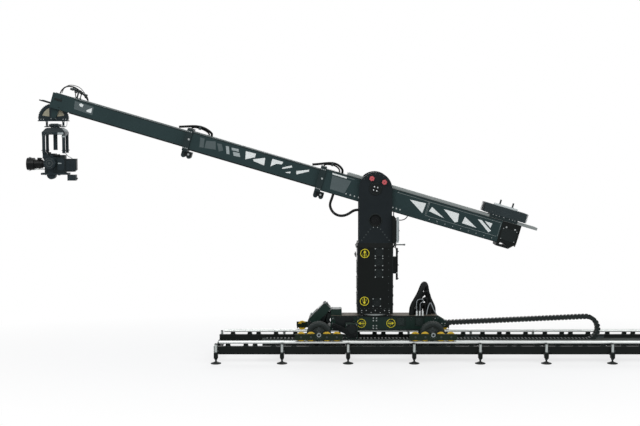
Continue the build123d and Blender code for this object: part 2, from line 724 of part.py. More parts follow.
# Loom: a thick bundle of cables that arches from the chain's end over to the chassis top
LOOM_ROUTE = (
    (401, -80, CHASSIS_TOP + 0.5),
    (401, -80, 740),
    (380, -80, 820),
    (332, -80, 900),
    (272, -78, 1010),
    (234, -56, 1108),
    (200, -5, 1146),
    (172, 46, 1108),
    (157, 68, 1010),
    (124, 70, 900),
    (80, 70, 810),
    (52, 70, 745),
    (52, 70, CHASSIS_TOP + 0.5),
)
loom_points = [(SLEW_X + CHASSIS_REAR - back, y, z) for back, y, z in LOOM_ROUTE]
save(cable(loom_points, LOOM_D, "cable_loom"), "cable_loom")

# Slew ring: the fixed half of the bearing, bolted on the chassis
with BuildPart() as slew_ring:
    with Locations((SLEW_X, 0, CHASSIS_TOP)):
        Cylinder(
            CHASSIS_HALF_WIDTH,
            SLEW_RING_HEIGHT,
            align=(Align.CENTER, Align.CENTER, Align.MIN),
        )
        Hole(SLEW_RING_BORE_R)
save(slew_ring.part, "slew_ring")

# Turntable ring: the turning half, a stepped flange under the column
TURNTABLE_Z = CHASSIS_TOP + SLEW_RING_HEIGHT + SLEW_GAP
TURNTABLE_HEIGHT = 24.0
with BuildPart() as turntable_ring:
    with Locations((SLEW_X, 0, TURNTABLE_Z)):
        Cylinder(SLEW_RING_R, TURNTABLE_HEIGHT, align=(Align.CENTER, Align.CENTER, Align.MIN))
        Hole(SLEW_RING_BORE_R)
save(turntable_ring.part, "turntable_ring")

# Column: a square housing with a sloping lip round its top
COLUMN_BOTTOM = TURNTABLE_Z + TURNTABLE_HEIGHT
CHEEK_FOOT = COLUMN_TOP + LIP_HEIGHT
with BuildPart() as column_housing:
    with BuildSketch(Plane.XY.offset(COLUMN_BOTTOM)):
        with Locations((SLEW_X, 0)):
            RectangleRounded(2 * COLUMN_HALF_LENGTH, 2 * COLUMN_HALF_WIDTH, COLUMN_CORNER)
    extrude(amount=CHEEK_FOOT - COLUMN_BOTTOM)
    with BuildSketch(Plane.XY.offset(COLUMN_TOP)):
        with Locations((SLEW_X, 0)):
            Rectangle(
                2 * (COLUMN_HALF_LENGTH + LIP_PROUD),
                2 * (COLUMN_HALF_WIDTH + LIP_PROUD / 2),
            )
    with BuildSketch(Plane.XY.offset(CHEEK_FOOT)):
        with Locations((SLEW_X, 0)):
            Rectangle(2 * CHEEK_R, 2 * COLUMN_HALF_WIDTH)
    loft()
    with BuildSketch(Plane.XY.offset(COLUMN_BOTTOM)):
        with Locations((SLEW_X, 0)):
            Rectangle(
                2 * (COLUMN_HALF_LENGTH - COLUMN_WALL),
                2 * (COLUMN_HALF_WIDTH - COLUMN_WALL),
            )
    extrude(amount=CHEEK_FOOT - COLUMN_BOTTOM - 2 * COLUMN_WALL, mode=Mode.SUBTRACT)
save(column_housing.part, "column_housing")

# Cheeks: two round-topped side plates that carry the arm's pivot
CHEEK_INNER_Y = COLUMN_HALF_WIDTH - CHEEK_THICKNESS
PIVOT_CLEARANCE = 0.05
for name, side in (("cheek_near", -1), ("cheek_far", 1)):
    with BuildPart() as cheek:
        mid_y = side * (CHEEK_INNER_Y + CHEEK_THICKNESS / 2)
        with BuildSketch(level_side(SLEW_X, PIVOT_Z, mid_y)):
            Circle(CHEEK_R)
            Rectangle(2 * CHEEK_R, PIVOT_Z - CHEEK_FOOT, align=(Align.CENTER, Align.MAX))
            Circle(PIVOT_R + PIVOT_CLEARANCE, mode=Mode.SUBTRACT)
            with Locations((0, -CHEEK_HOLE_DROP)):
                Circle(CHEEK_HOLE_R, mode=Mode.SUBTRACT)
        extrude(amount=CHEEK_THICKNESS / 2, both=True)
    save(cheek.part, name)

# Service covers: square flanges with a round boss on the near and far faces
COVER_PLACES = ((56.0, 1655.0), (56.0, 1506.0), (56.0, 1329.0), (24.0, 880.0))
with BuildPart() as service_covers:
    for side in (-1, 1):
        face = Plane(origin=(SLEW_X, side * COLUMN_HALF_WIDTH, 0), x_dir=(-side, 0, 0), z_dir=(0, side, 0))
        with BuildSketch(face):
            with Locations(*((-side * x, z) for x, z in COVER_PLACES)):
                Rectangle(COVER_SIDE, COVER_SIDE)
        extrude(amount=COVER_PLATE)
        with BuildSketch(face.offset(COVER_PLATE)):
            with Locations(*((-side * x, z) for x, z in COVER_PLACES)):
                RegularPolygon(COVER_BOSS_R, 24)
        extrude(amount=COVER_BOSS - COVER_PLATE)
save(service_covers.part, "service_covers")

# Control cabinet: a shallow box with a sloping top behind the near cheek, clear of the arm
CABINET_X = SLEW_X + CHEEK_R
with BuildPart() as control_cabinet:
    with BuildSketch(level_side(CABINET_X, CABINET_TOP_Z, CABINET_Y)):
        with BuildLine():
            Polyline(
                (0, 0),
                (CABINET_LENGTH * 0.5, 0),
                (CABINET_LENGTH, -CABINET_LENGTH),
                (CABINET_LENGTH, -CABINET_HEIGHT),
                (0, -CABINET_HEIGHT),
                close=True,
            )
        make_face()
    extrude(amount=CABINET_WIDTH / 2, both=True)
    with Locations((CABINET_X + CABINET_LENGTH, CABINET_Y, CABINET_TOP_Z - CABINET_HEIGHT / 2 - 20)):
        Box(
            CABINET_DOOR,
            CABINET_WIDTH * 0.84,
            CABINET_HEIGHT * 0.76,
            align=(Align.MIN, Align.CENTER, Align.CENTER),
        )
save(control_cabinet.part, "control_cabinet")

# Cable bar: an upright bar held off the column's rear face by a bracket box
BAR_X = SLEW_X + COLUMN_HALF_LENGTH
with BuildPart() as cable_bar:
    with Locations((BAR_X, -120, 1450)):
        Box(46, 90, 260, align=(Align.MIN, Align.CENTER, Align.CENTER))
    with Locations((BAR_X + 46, -120, 1466)):
        Box(30, 44, 490, align=(Align.MIN, Align.CENTER, Align.CENTER))
save(cable_bar.part, "cable_bar")

# Slew lever: a bar with a ball end on an upright pin at the column's rear
LEVER_Z = COLUMN_TOP + 12.0
LEVER_PIVOT_X = SLEW_X + COLUMN_HALF_LENGTH + LIP_PROUD + LEVER_HUB_R + 0.3
with BuildPart() as slew_lever:
    with Locations((LEVER_PIVOT_X, 100, LEVER_Z)):
        Cylinder(LEVER_HUB_R, 34)
    with Locations(Location((LEVER_PIVOT_X, 100, LEVER_Z), (0, 90, 0))):
        Cylinder(LEVER_R, LEVER_LENGTH, align=(Align.CENTER, Align.CENTER, Align.MIN))
    with Locations((LEVER_PIVOT_X + LEVER_LENGTH, 100, LEVER_Z)):
        Sphere(LEVER_R * 1.5)
save(slew_lever.part, "slew_lever")

# Pivot trunnions: a stub on each side of the outer section, with a flanged cap outside the cheek
TRUNNION_END = COLUMN_HALF_WIDTH + SPIN_GAP
with BuildPart() as pivot_trunnions:
    for side in (-1, 1):
        with BuildSketch(arm_side(side * OUTER_WIDTH / 2)):
            Circle(PIVOT_R)
        extrude(amount=side * (TRUNNION_END - OUTER_WIDTH / 2))
        with BuildSketch(arm_side(side * TRUNNION_END)):
            Circle(PIVOT_FLANGE_R)
        extrude(amount=side * PIVOT_CAP)
save(pivot_trunnions.part, "pivot_trunnions")


def box_tube(width, height, wall, rear, front):
    """One telescoping section: a box tube with rounded corners."""
    with BuildPart() as tube:
        with BuildSketch(arm_section(rear, -ARM_DROP)):
            RectangleRounded(width, height, TUBE_CORNER)
            Rectangle(width - 2 * wall, height - 2 * wall, mode=Mode.SUBTRACT)
        extrude(amount=front - rear)
    return tube.part


# Outer section, with raised ribs along its side edges
with BuildPart() as outer_tube:
    add(box_tube(OUTER_WIDTH, OUTER_HEIGHT, OUTER_WALL, OUTER_REAR, OUTER_FRONT))
    for side in (-1, 1):
        for edge in (-1, 1):
            rib_h = -ARM_DROP + edge * (OUTER_HEIGHT / 2 - EDGE_RIB_HEIGHT / 2 - TUBE_CORNER)
            with BuildSketch(arm_section(OUTER_REAR, rib_h)):
                with Locations((side * (OUTER_WIDTH / 2 + EDGE_RIB_PROUD / 2), 0)):
                    Rectangle(EDGE_RIB_PROUD, EDGE_RIB_HEIGHT)
            extrude(amount=OUTER_FRONT - OUTER_REAR)
save(outer_tube.part, "outer_tube")

# Middle section
mid_tube = box_tube(MID_WIDTH, MID_HEIGHT, MID_WALL, MID_REAR, MID_FRONT)
save(mid_tube, "mid_tube")


def collar(outer_size, inner_size, start):
    """A frame on a section's front end with the roller block that carries the next section."""
    width, height = outer_size
    through_w, through_h = (side + 2 * COLLAR_CLEARANCE for side in inner_size)
    lobe_r = ROLLER_BLOCK_LENGTH / 4 - LOBE_SPLIT / 2
    lobe_s = ROLLER_BLOCK_LENGTH / 2 - lobe_r
    block_s = start + COLLAR_LENGTH - ROLLER_BLOCK_LENGTH / 2
    block_top = -ARM_DROP - height / 2 - COLLAR_PROUD
    with BuildPart() as frame:
        with BuildSketch(arm_section(start, -ARM_DROP)):
            RectangleRounded(width + 2 * COLLAR_PROUD, height + 2 * COLLAR_PROUD, TUBE_CORNER)
            Rectangle(through_w, through_h, mode=Mode.SUBTRACT)
        extrude(amount=COLLAR_LENGTH)
        with BuildSketch(arm_side()):
            with Locations((block_s, block_top)):
                Rectangle(
                    ROLLER_BLOCK_LENGTH,
                    ROLLER_BLOCK_DROP - lobe_r,
                    align=(Align.CENTER, Align.MAX),
                )
            for lobe in (-1, 1):
                with Locations((block_s + lobe * lobe_s, block_top - ROLLER_BLOCK_DROP + lobe_r)):
                    Circle(lobe_r)
        extrude(amount=ROLLER_BLOCK_WIDTH / 2, both=True)
    return frame.part


# Collars: each meets the end face of its section and lets the next section slide through
outer_collar = collar((OUTER_WIDTH, OUTER_HEIGHT), (MID_WIDTH, MID_HEIGHT), OUTER_FRONT)
save(outer_collar, "outer_collar")
mid_collar = collar((MID_WIDTH, MID_HEIGHT), (INNER_WIDTH, INNER_HEIGHT), MID_FRONT)
save(mid_collar, "mid_collar")

# Inner section: a box tube whose nose is a fork that carries the levelling pivot
HANGER_Y = SECTOR_THICKNESS / 2 + FORK_GAP
with BuildPart() as inner_tube:
    add(box_tube(INNER_WIDTH, INNER_HEIGHT, INNER_WALL, INNER_REAR, INNER_FRONT))
    for side in (-1, 1):
        with BuildSketch(arm_side(side * INNER_WIDTH / 2)):
            with Locations((INNER_FRONT, -ARM_DROP)):
                Rectangle(
                    NOSE_END - INNER_FRONT,
                    INNER_HEIGHT - 2 * TUBE_CORNER,
                    align=(Align.MIN, Align.CENTER),
                )
        extrude(amount=-side * FORK_PLATE)
        with BuildSketch(arm_side(side * HANGER_Y)):
            with BuildLine():
                Polyline(
                    (NOSE_BLOCK_REAR, NOSE_BLOCK_LOW),
                    (LEVEL_S - HANGER_HALF_WIDTH, LEVEL_H),
                    (LEVEL_S + HANGER_HALF_WIDTH, LEVEL_H),
                    (NOSE_END, NOSE_BLOCK_LOW),
                    close=True,
                )
            make_face()
            with Locations((LEVEL_S, LEVEL_H)):
                Circle(HANGER_EYE_R)
                Circle(LEVEL_PIN_R, mode=Mode.SUBTRACT)
        extrude(amount=side * FORK_PLATE)
    with BuildSketch(arm_side()):
        with Locations((NOSE_BLOCK_REAR, NOSE_BLOCK_LOW)):
            Rectangle(
                NOSE_END - NOSE_BLOCK_REAR,
                NOSE_BLOCK_HIGH - NOSE_BLOCK_LOW,
                align=(Align.MIN, Align.MIN),
            )
    extrude(amount=INNER_WIDTH / 2, both=True)
save(inner_tube.part, "inner_tube")

# Rear housing: a deeper box on the tail with a hand slot through it
TUBE_TOP_H = -ARM_DROP + OUTER_HEIGHT / 2
HOUSING_LOW_H = -ARM_DROP - OUTER_HEIGHT / 2 - REAR_HOUSING_DROP
TAIL_S = OUTER_REAR - REAR_HOUSING_LENGTH
with BuildPart() as rear_housing:
    with BuildSketch(arm_side()):
        with BuildLine():
            Polyline(
                (OUTER_REAR, TUBE_TOP_H),
                (OUTER_REAR, HOUSING_LOW_H),
                (TAIL_S + TAIL_SLOPE, HOUSING_LOW_H),
                (TAIL_S, HOUSING_LOW_H + TAIL_SLOPE),
                (TAIL_S, TUBE_TOP_H),
                close=True,
            )
        make_face()
        with Locations((OUTER_REAR - HAND_SLOT_SETBACK, HOUSING_LOW_H + HAND_SLOT_RISE)):
            SlotOverall(HAND_SLOT_LENGTH, HAND_SLOT_HEIGHT, mode=Mode.SUBTRACT)
    extrude(amount=OUTER_WIDTH / 2, both=True)
save(rear_housing.part, "rear_housing")

# Counterweight rails: two square bars on top of the outer section, joined by end plates
WEIGHT_RAIL_H = TUBE_TOP_H + WEIGHT_RAIL_SIDE / 2
with BuildPart() as weight_rail:
    with BuildSketch(arm_section(WEIGHT_RAIL_REAR, WEIGHT_RAIL_H)):
        with Locations((-WEIGHT_RAIL_Y, 0), (WEIGHT_RAIL_Y, 0)):
            Rectangle(WEIGHT_RAIL_SIDE, WEIGHT_RAIL_SIDE)
    extrude(amount=WEIGHT_RAIL_FRONT - WEIGHT_RAIL_REAR)
    for end in (WEIGHT_RAIL_REAR, WEIGHT_RAIL_FRONT - CARRIAGE_PLATE):
        with BuildSketch(arm_section(end, WEIGHT_RAIL_H)):
            Rectangle(2 * WEIGHT_RAIL_Y + WEIGHT_RAIL_SIDE, WEIGHT_RAIL_SIDE)
        extrude(amount=CARRIAGE_PLATE)
save(weight_rail.part, "weight_rail")


def clamp_rod_plane(end, h):
    """The plane across a clamp rod at height h above the pivot, with its normal along the rod."""
    return Plane(
        origin=arm_point(WEIGHT_MIDDLE + end * CLAMP_SPACING / 2, h),
        x_dir=(0, 1, 0),
        z_dir=(TILT_SIN, 0, TILT_COS),
    )


# Carriage: a plate over the rails with side guides and two clamp rods
CARRIAGE_H = TUBE_TOP_H + WEIGHT_RAIL_SIDE + CARRIAGE_CLEARANCE
GUIDE_Y = WEIGHT_RAIL_Y + WEIGHT_RAIL_SIDE / 2 + CARRIAGE_CLEARANCE
PLATES_H = CARRIAGE_H + CARRIAGE_PLATE
PLATES_TOP = PLATES_H + WEIGHT_COUNT * WEIGHT_PLATE + (WEIGHT_COUNT - 1) * WEIGHT_PLATE_GAP
SLAB_TOP = PLATES_TOP + CLAMP_SLAB
with BuildPart() as weight_carriage:
    with BuildSketch(arm_section(WEIGHT_MIDDLE - CARRIAGE_LENGTH / 2, CARRIAGE_H + CARRIAGE_PLATE / 2)):
        Rectangle(2 * (GUIDE_Y + CARRIAGE_PLATE), CARRIAGE_PLATE)
        for side in (-1, 1):
            with Locations((side * (GUIDE_Y + CARRIAGE_PLATE / 2), -CARRIAGE_PLATE / 2)):
                Rectangle(CARRIAGE_PLATE, CARRIAGE_GUIDE_DEPTH, align=(Align.CENTER, Align.MAX))
    extrude(amount=CARRIAGE_LENGTH)
    for end in (-1, 1):
        with BuildSketch(clamp_rod_plane(end, PLATES_H)):
            Circle(CLAMP_ROD_R - CLAMP_ROD_CLEARANCE)
        extrude(amount=SLAB_TOP - PLATES_H)
        with BuildSketch(clamp_rod_plane(end, SLAB_TOP)):
            Circle(CLAMP_ROD_R)
        extrude(amount=CLAMP_ROD_TOP)
save(weight_carriage.part, "weight_carriage")

# Weight plates: slabs on the clamp rods, every other one set back a little
with BuildPart() as weight_plates:
    for n in range(WEIGHT_COUNT):
        plate_h = PLATES_H + n * (WEIGHT_PLATE + WEIGHT_PLATE_GAP) + WEIGHT_PLATE / 2
        plate_s = WEIGHT_MIDDLE - WEIGHT_LENGTH / 2 + PLATE_STAGGER * (n % 2)
        with BuildSketch(arm_section(plate_s, plate_h)):
            Rectangle(WEIGHT_WIDTH, WEIGHT_PLATE)
        extrude(amount=WEIGHT_LENGTH)
    for end in (-1, 1):
        with BuildSketch(clamp_rod_plane(end, PLATES_H)):
            Circle(CLAMP_ROD_R + CLAMP_ROD_CLEARANCE)
        extrude(amount=PLATES_TOP - PLATES_H, mode=Mode.SUBTRACT)
save(weight_plates.part, "weight_plates")

# Clamp slab on top of the plates
with BuildPart() as weight_clamp:
    with BuildSketch(arm_section(WEIGHT_MIDDLE - CLAMP_SLAB_LENGTH / 2, PLATES_TOP + CLAMP_SLAB / 2)):
        Rectangle(CLAMP_SLAB_WIDTH, CLAMP_SLAB)
    extrude(amount=CLAMP_SLAB_LENGTH)
    for end in (-1, 1):
        with BuildSketch(clamp_rod_plane(end, PLATES_TOP)):
            Circle(CLAMP_ROD_R + CLAMP_ROD_CLEARANCE)
        extrude(amount=CLAMP_SLAB, mode=Mode.SUBTRACT)
save(weight_clamp.part, "weight_clamp")

# Brake knobs: lobed hand knobs on the near cheek, each side of the arm's normal
KNOB_Y = -COLUMN_HALF_WIDTH - SPIN_GAP
for name, side in (("brake_knob_front", 1), ("brake_knob_rear", -1)):
    angle = radians(KNOB_SPREAD)
    knob_place = (side * KNOB_REACH * sin(angle), KNOB_REACH * cos(angle))
    with BuildPart() as brake_knob:
        with BuildSketch(arm_side(KNOB_Y)):
            with Locations(knob_place):
                Circle(KNOB_NECK_R)
        extrude(amount=-KNOB_NECK_LENGTH)
        with BuildSketch(arm_side(KNOB_Y - KNOB_NECK_LENGTH)):
            with Locations(knob_place):
                Circle(KNOB_R)
                with PolarLocations(KNOB_R + KNOB_LOBE_R / 3, 6):
                    Circle(KNOB_LOBE_R, mode=Mode.SUBTRACT)
        extrude(amount=-(KNOB_LENGTH - KNOB_NECK_LENGTH))
    save(brake_knob.part, name)

# Big cable loop under the arm, which gives when the arm tilts against the cheek
ARM_LOOP_ROUTE = (
    (-697, -108, -232),
    (-690, -120, -300),
    (-648, -136, -370),
    (-580, -152, -412),
    (-500, -168, -420),
    (-425, -182, -395),
    (-360, -190, -350),
    (-310, -192.5, -324),
    (-254.4, -192.5, -324),
)
TUBE_LOW_H = -ARM_DROP - OUTER_HEIGHT / 2
arm_loop_points = [arm_point(594, TUBE_LOW_H - 0.4, -100), arm_point(594, TUBE_LOW_H - 57, -100)]
arm_loop_points += [(SLEW_X + x, y, PIVOT_Z + z) for x, y, z in ARM_LOOP_ROUTE]
save(cable(arm_loop_points, ARM_LOOP_D, "arm_cable_loop"), "arm_cable_loop")

# Cable hoops: short sleeved cables that bridge each collar
HOOP_FRONT_ROUTE = (
    (3160, 53),
    (3075, 82),
    (2985, 114),
    (2895, 140),
    (2800, 146),
    (2715, 128),
    (2660, 102),
    (2640, 84),
    (2640, 54.7),
)
HOOP_REAR_ROUTE = (
    (1030, 76),
    (950, 104),
    (865, 141),
    (775, 175),
    (690, 190),
    (615, 170),
    (570, 138),
    (550, 108),
    (550, 77.2),
)
hoop_front_points = [arm_point(s, h) for s, h in HOOP_FRONT_ROUTE]
save(cable(hoop_front_points, HOOP_D, "cable_hoop_front"), "cable_hoop_front")
hoop_rear_points = [arm_point(s, h) for s, h in HOOP_REAR_ROUTE]
save(cable(hoop_rear_points, HOOP_D, "cable_hoop_rear"), "cable_hoop_rear")

# Levelling sector: a toothed half disc with recessed windows and its own pivot pin
with BuildPart() as level_sector:
    with BuildSketch(level_side(LEVEL_X, LEVEL_Z)):
        rim = []
        for n in range(SECTOR_TEETH):
            for share, height in ((0.1, 0), (0.35, TOOTH_HEIGHT), (0.65, TOOTH_HEIGHT), (0.9, 0)):
                angle = pi * (n + share) / SECTOR_TEETH
                rim.append(((SECTOR_R + height) * cos(angle), (SECTOR_R + height) * sin(angle)))
        Polygon(*rim, (-SECTOR_R, SECTOR_FLAT), (SECTOR_R, SECTOR_FLAT), align=None)
    extrude(amount=SECTOR_THICKNESS / 2, both=True)
    for side in (-1, 1):
        with BuildSketch(level_side(LEVEL_X, LEVEL_Z, side * SECTOR_THICKNESS / 2)):
            Circle(SECTOR_R - SECTOR_RIM)
            Rectangle(2 * SECTOR_R, SECTOR_R, align=(Align.CENTER, Align.MAX), mode=Mode.SUBTRACT)
            Rectangle(SECTOR_WEB, 3 * SECTOR_R, mode=Mode.SUBTRACT)
        extrude(amount=side * WINDOW_RECESS, mode=Mode.SUBTRACT)
    with BuildSketch(level_side(LEVEL_X, LEVEL_Z)):
        Circle(LEVEL_PIN_R - SPIN_CLEARANCE)
    extrude(amount=HANGER_Y + FORK_PLATE + LEVEL_PIN_PROUD, both=True)
save(level_sector.part, "level_sector")

# Head hanger: two flanged rods from the sector's flat down to the pan bearing plate
SECTOR_BOTTOM = LEVEL_Z + SECTOR_FLAT
BEARING_Z = SECTOR_BOTTOM - HANGER_DROP
ROD_PLACES = [(HEAD_X + end * ROD_SPACING / 2, 0) for end in (-1, 1)]
with BuildPart() as head_hanger:
    with Locations((LEVEL_X, 0, SECTOR_BOTTOM)):
        Box(
            2 * SECTOR_R,
            HANGER_WIDTH,
            HANGER_PLATE,
            align=(Align.CENTER, Align.CENTER, Align.MAX),
        )
    with Locations(*((x, y, SECTOR_BOTTOM) for x, y in ROD_PLACES)):
        Cylinder(ROD_R, HANGER_DROP, align=(Align.CENTER, Align.CENTER, Align.MAX))
    with Locations((HEAD_X, 0, BEARING_Z)):
        Box(
            ROD_SPACING + 4 * ROD_R,
            4 * ROD_R,
            HANGER_PLATE,
            align=(Align.CENTER, Align.CENTER, Align.MIN),
        )
    with Locations((HEAD_X, 0, BEARING_Z + HANGER_PLATE)):
        Box(
            2 * MOTOR_BLOCK_HALF,
            MOTOR_BLOCK_WIDTH,
            MOTOR_BLOCK_HEIGHT,
            align=(Align.CENTER, Align.CENTER, Align.MIN),
        )
save(head_hanger.part, "head_hanger")

# Pan frame: bearing ring, sloping cap, four corner posts, a middle post and the fork arms
CAP_TOP_Z = BEARING_Z - PAN_GAP - PAN_RING_HEIGHT
CAP_BOTTOM_Z = LEVEL_Z - CAP_DROP
TILT_Z = LEVEL_Z - TILT_AXIS_DROP
FORK_INNER_Y = CAMERA_WIDTH / 2 + FORK_CLEARANCE
CAP_WIDTH = POST_SPACING_Y + 2 * CAGE_POST_R
with BuildPart() as pan_frame:
    with Locations((HEAD_X, 0, CAP_TOP_Z)):
        Cylinder(PAN_RING_R, PAN_RING_HEIGHT, align=(Align.CENTER, Align.CENTER, Align.MIN))
    with BuildSketch(Plane.XY.offset(CAP_TOP_Z)):
        with Locations((HEAD_X, 0)):
            Rectangle(2 * CAP_TOP_HALF, 2 * PAN_RING_R)
    with BuildSketch(Plane.XY.offset(CAP_BOTTOM_Z + CAP_RIM)):
        with Locations((HEAD_X, 0)):
            Rectangle(2 * CAP_HALF, CAP_WIDTH)
    loft()
    with Locations((HEAD_X, 0, CAP_BOTTOM_Z)):
        Box(2 * CAP_HALF, CAP_WIDTH, CAP_RIM, align=(Align.CENTER, Align.CENTER, Align.MIN))
    with Locations((HEAD_X, 0, CAP_BOTTOM_Z)):
        with GridLocations(POST_SPACING_X, POST_SPACING_Y, 2, 2):
            Cylinder(CAGE_POST_R, CAGE_POST_LENGTH, align=(Align.CENTER, Align.CENTER, Align.MAX))
            with Locations((0, 0, -POST_RING_DROP)):
                Cylinder(CAGE_POST_R + POST_RING, POST_RING)
        Cylinder(MIDDLE_POST_R, MIDDLE_POST_LENGTH, align=(Align.CENTER, Align.CENTER, Align.MAX))
    for side in (-1, 1):
        with BuildSketch(level_side(HEAD_X, TILT_Z, side * FORK_INNER_Y)):
            with BuildLine():
                post_front = -POST_SPACING_X / 2 - CAGE_POST_R
                post_foot = CAP_BOTTOM_Z - CAGE_POST_LENGTH - TILT_Z
                Polyline(
                    (post_front, post_foot + CAGE_POST_R),
                    (post_front + 2 * CAGE_POST_R, post_foot + CAGE_POST_R),
                    (TILT_AXIS_X + 2 * TRUNNION_R, 2 * TRUNNION_R),
                    (TILT_AXIS_X + 2 * TRUNNION_R, -2 * TRUNNION_R),
                    (TILT_AXIS_X - 2 * TRUNNION_R, -2 * TRUNNION_R),
                    (post_front, post_foot - 3 * CAGE_POST_R),
                    close=True,
                )
            make_face()
            with Locations((TILT_AXIS_X, 0)):
                Circle(TRUNNION_R + SPIN_CLEARANCE, mode=Mode.SUBTRACT)
        extrude(amount=-side * FORK_ARM)
save(pan_frame.part, "pan_frame")

# Tilt drive: a round motor housing on the near fork arm
TILT_X = HEAD_X + TILT_AXIS_X
with BuildPart() as tilt_drive:
    with BuildSketch(level_side(TILT_X, TILT_Z, -FORK_INNER_Y - FORK_ARM - TRUNNION_END_GAP)):
        Circle(TILT_DRUM_R)
    extrude(amount=TILT_DRUM_LENGTH)
    chamfer(tilt_drive.faces().sort_by(Axis.Y)[0].edges(), TILT_DRUM_CHAMFER)
save(tilt_drive.part, "tilt_drive")

# Camera cradle: a base plate on a round boss, hung from two trunnion arms beside the camera
CAMERA_BOTTOM = TILT_Z - CAMERA_BOTTOM_DROP
CRADLE_ARM_Y = CAMERA_WIDTH / 2 - CRADLE_ARM
with BuildPart() as camera_cradle:
    with Locations((HEAD_X + (CRADLE_FRONT + CRADLE_REAR) / 2, 0, CAMERA_BOTTOM)):
        Box(
            CRADLE_REAR - CRADLE_FRONT,
            CAMERA_WIDTH,
            CRADLE_PLATE,
            align=(Align.CENTER, Align.CENTER, Align.MAX),
        )
    with BuildSketch(level_side(TILT_X, CAMERA_BOTTOM - CRADLE_PLATE)):
        Circle(CRADLE_ROUND_R)
        Rectangle(
            3 * CRADLE_ROUND_R,
            CRADLE_ROUND_R * 1.2,
            align=(Align.CENTER, Align.MIN),
            mode=Mode.SUBTRACT,
        )
    extrude(amount=CRADLE_ROUND_WIDTH / 2, both=True)
    for side in (-1, 1):
        with BuildSketch(level_side(TILT_X, TILT_Z, side * CRADLE_ARM_Y)):
            Circle(2 * TRUNNION_R)
            Rectangle(
                4 * TRUNNION_R,
                CAMERA_BOTTOM_DROP,
                align=(Align.CENTER, Align.MAX),
            )
        extrude(amount=-side * CRADLE_ARM)
        with BuildSketch(level_side(TILT_X, TILT_Z, side * CRADLE_ARM_Y)):
            Circle(TRUNNION_R)
        extrude(amount=-side * (FORK_INNER_Y + FORK_ARM - CRADLE_ARM_Y))
    with Locations((HEAD_X + CRADLE_REAR - POWER_BOX_OVERLAP, 0, CAMERA_BOTTOM - CRADLE_PLATE)):
        Box(
            POWER_BOX_LENGTH,
            POWER_BOX_WIDTH,
            POWER_BOX_HEIGHT,
            align=(Align.MIN, Align.CENTER, Align.MAX),
        )
save(camera_cradle.part, "camera_cradle")

# Camera body and its film magazine, which fits between the cradle's arms
BODY_WIDTH = 2 * (CRADLE_ARM_Y - CAMERA_SIDE_GAP)
CAMERA_TOP = TILT_Z + CAMERA_TOP_RISE
with BuildPart() as camera_body:
    with BuildSketch(level_side(HEAD_X, TILT_Z)):
        with BuildLine():
            Polyline(
                (CAMERA_FRONT, -CAMERA_BOTTOM_DROP),
                (CAMERA_REAR, -CAMERA_BOTTOM_DROP),
                (CAMERA_REAR, CAMERA_TOP_RISE - CAMERA_STEP),
                (CAMERA_STEP, CAMERA_TOP_RISE - CAMERA_STEP),
                (0, CAMERA_TOP_RISE),
                (CAMERA_FRONT + CAMERA_STEP, CAMERA_TOP_RISE),
                (CAMERA_FRONT, CAMERA_TOP_RISE - CAMERA_STEP),
                close=True,
            )
        make_face()
    extrude(amount=BODY_WIDTH / 2, both=True)
    fillet(camera_body.edges().filter_by(Axis.Y), CAMERA_EDGE)
    with BuildSketch(level_side(HEAD_X + CAMERA_REAR + PIECE_GAP, TILT_Z)):
        with BuildLine():
            Polyline(
                (0, -MAGAZINE_BOTTOM_DROP),
                (MAGAZINE_LENGTH - MAGAZINE_CORNER, -MAGAZINE_BOTTOM_DROP),
                (MAGAZINE_LENGTH, -MAGAZINE_BOTTOM_DROP + MAGAZINE_CORNER),
                (MAGAZINE_LENGTH, MAGAZINE_TOP_RISE),
                (0, MAGAZINE_TOP_RISE),
                close=True,
            )
        make_face()
    extrude(amount=MAGAZINE_WIDTH / 2, both=True)
save(camera_body.part, "camera_body")

# Lens: a stepped barrel and a flared hood in one turning
LENS_Z = TILT_Z - LENS_AXIS_DROP
LENS_BACK_X = HEAD_X + CAMERA_FRONT - PIECE_GAP
with BuildPart() as lens:
    with BuildSketch(level_side(LENS_BACK_X, LENS_Z)):
        with BuildLine():
            Polyline(
                (0, 0),
                (0, LENS_MOUNT_R),
                (-LENS_MOUNT_LENGTH, LENS_MOUNT_R),
                (-LENS_MOUNT_LENGTH, LENS_R),
                (-LENS_LENGTH, LENS_R),
                (-LENS_LENGTH, HOOD_R),
                (-LENS_LENGTH - HOOD_LENGTH, HOOD_R),
                (-LENS_LENGTH - HOOD_LENGTH, HOOD_R - HOOD_WALL),
                (-LENS_LENGTH - HOOD_WALL, LENS_R),
                (-LENS_LENGTH - HOOD_WALL, 0),
                close=True,
            )
        make_face()
    revolve(axis=Axis((LENS_BACK_X, 0, LENS_Z), (1, 0, 0)))
save(lens.part, "lens")
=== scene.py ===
"""Looks of a telescopic camera crane on a rail track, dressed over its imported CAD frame.

Sizes are in millimetres in the crane's own frame: floor at Z = 0, track along X, the arm's nose at -X.
A piece is turned into metres when it is made. The studio is in metres.
"""

import logging
import math
from dataclasses import dataclass
from enum import Enum
from typing import Iterable, Sequence

import bmesh
import bpy
from mathutils import Matrix, Vector

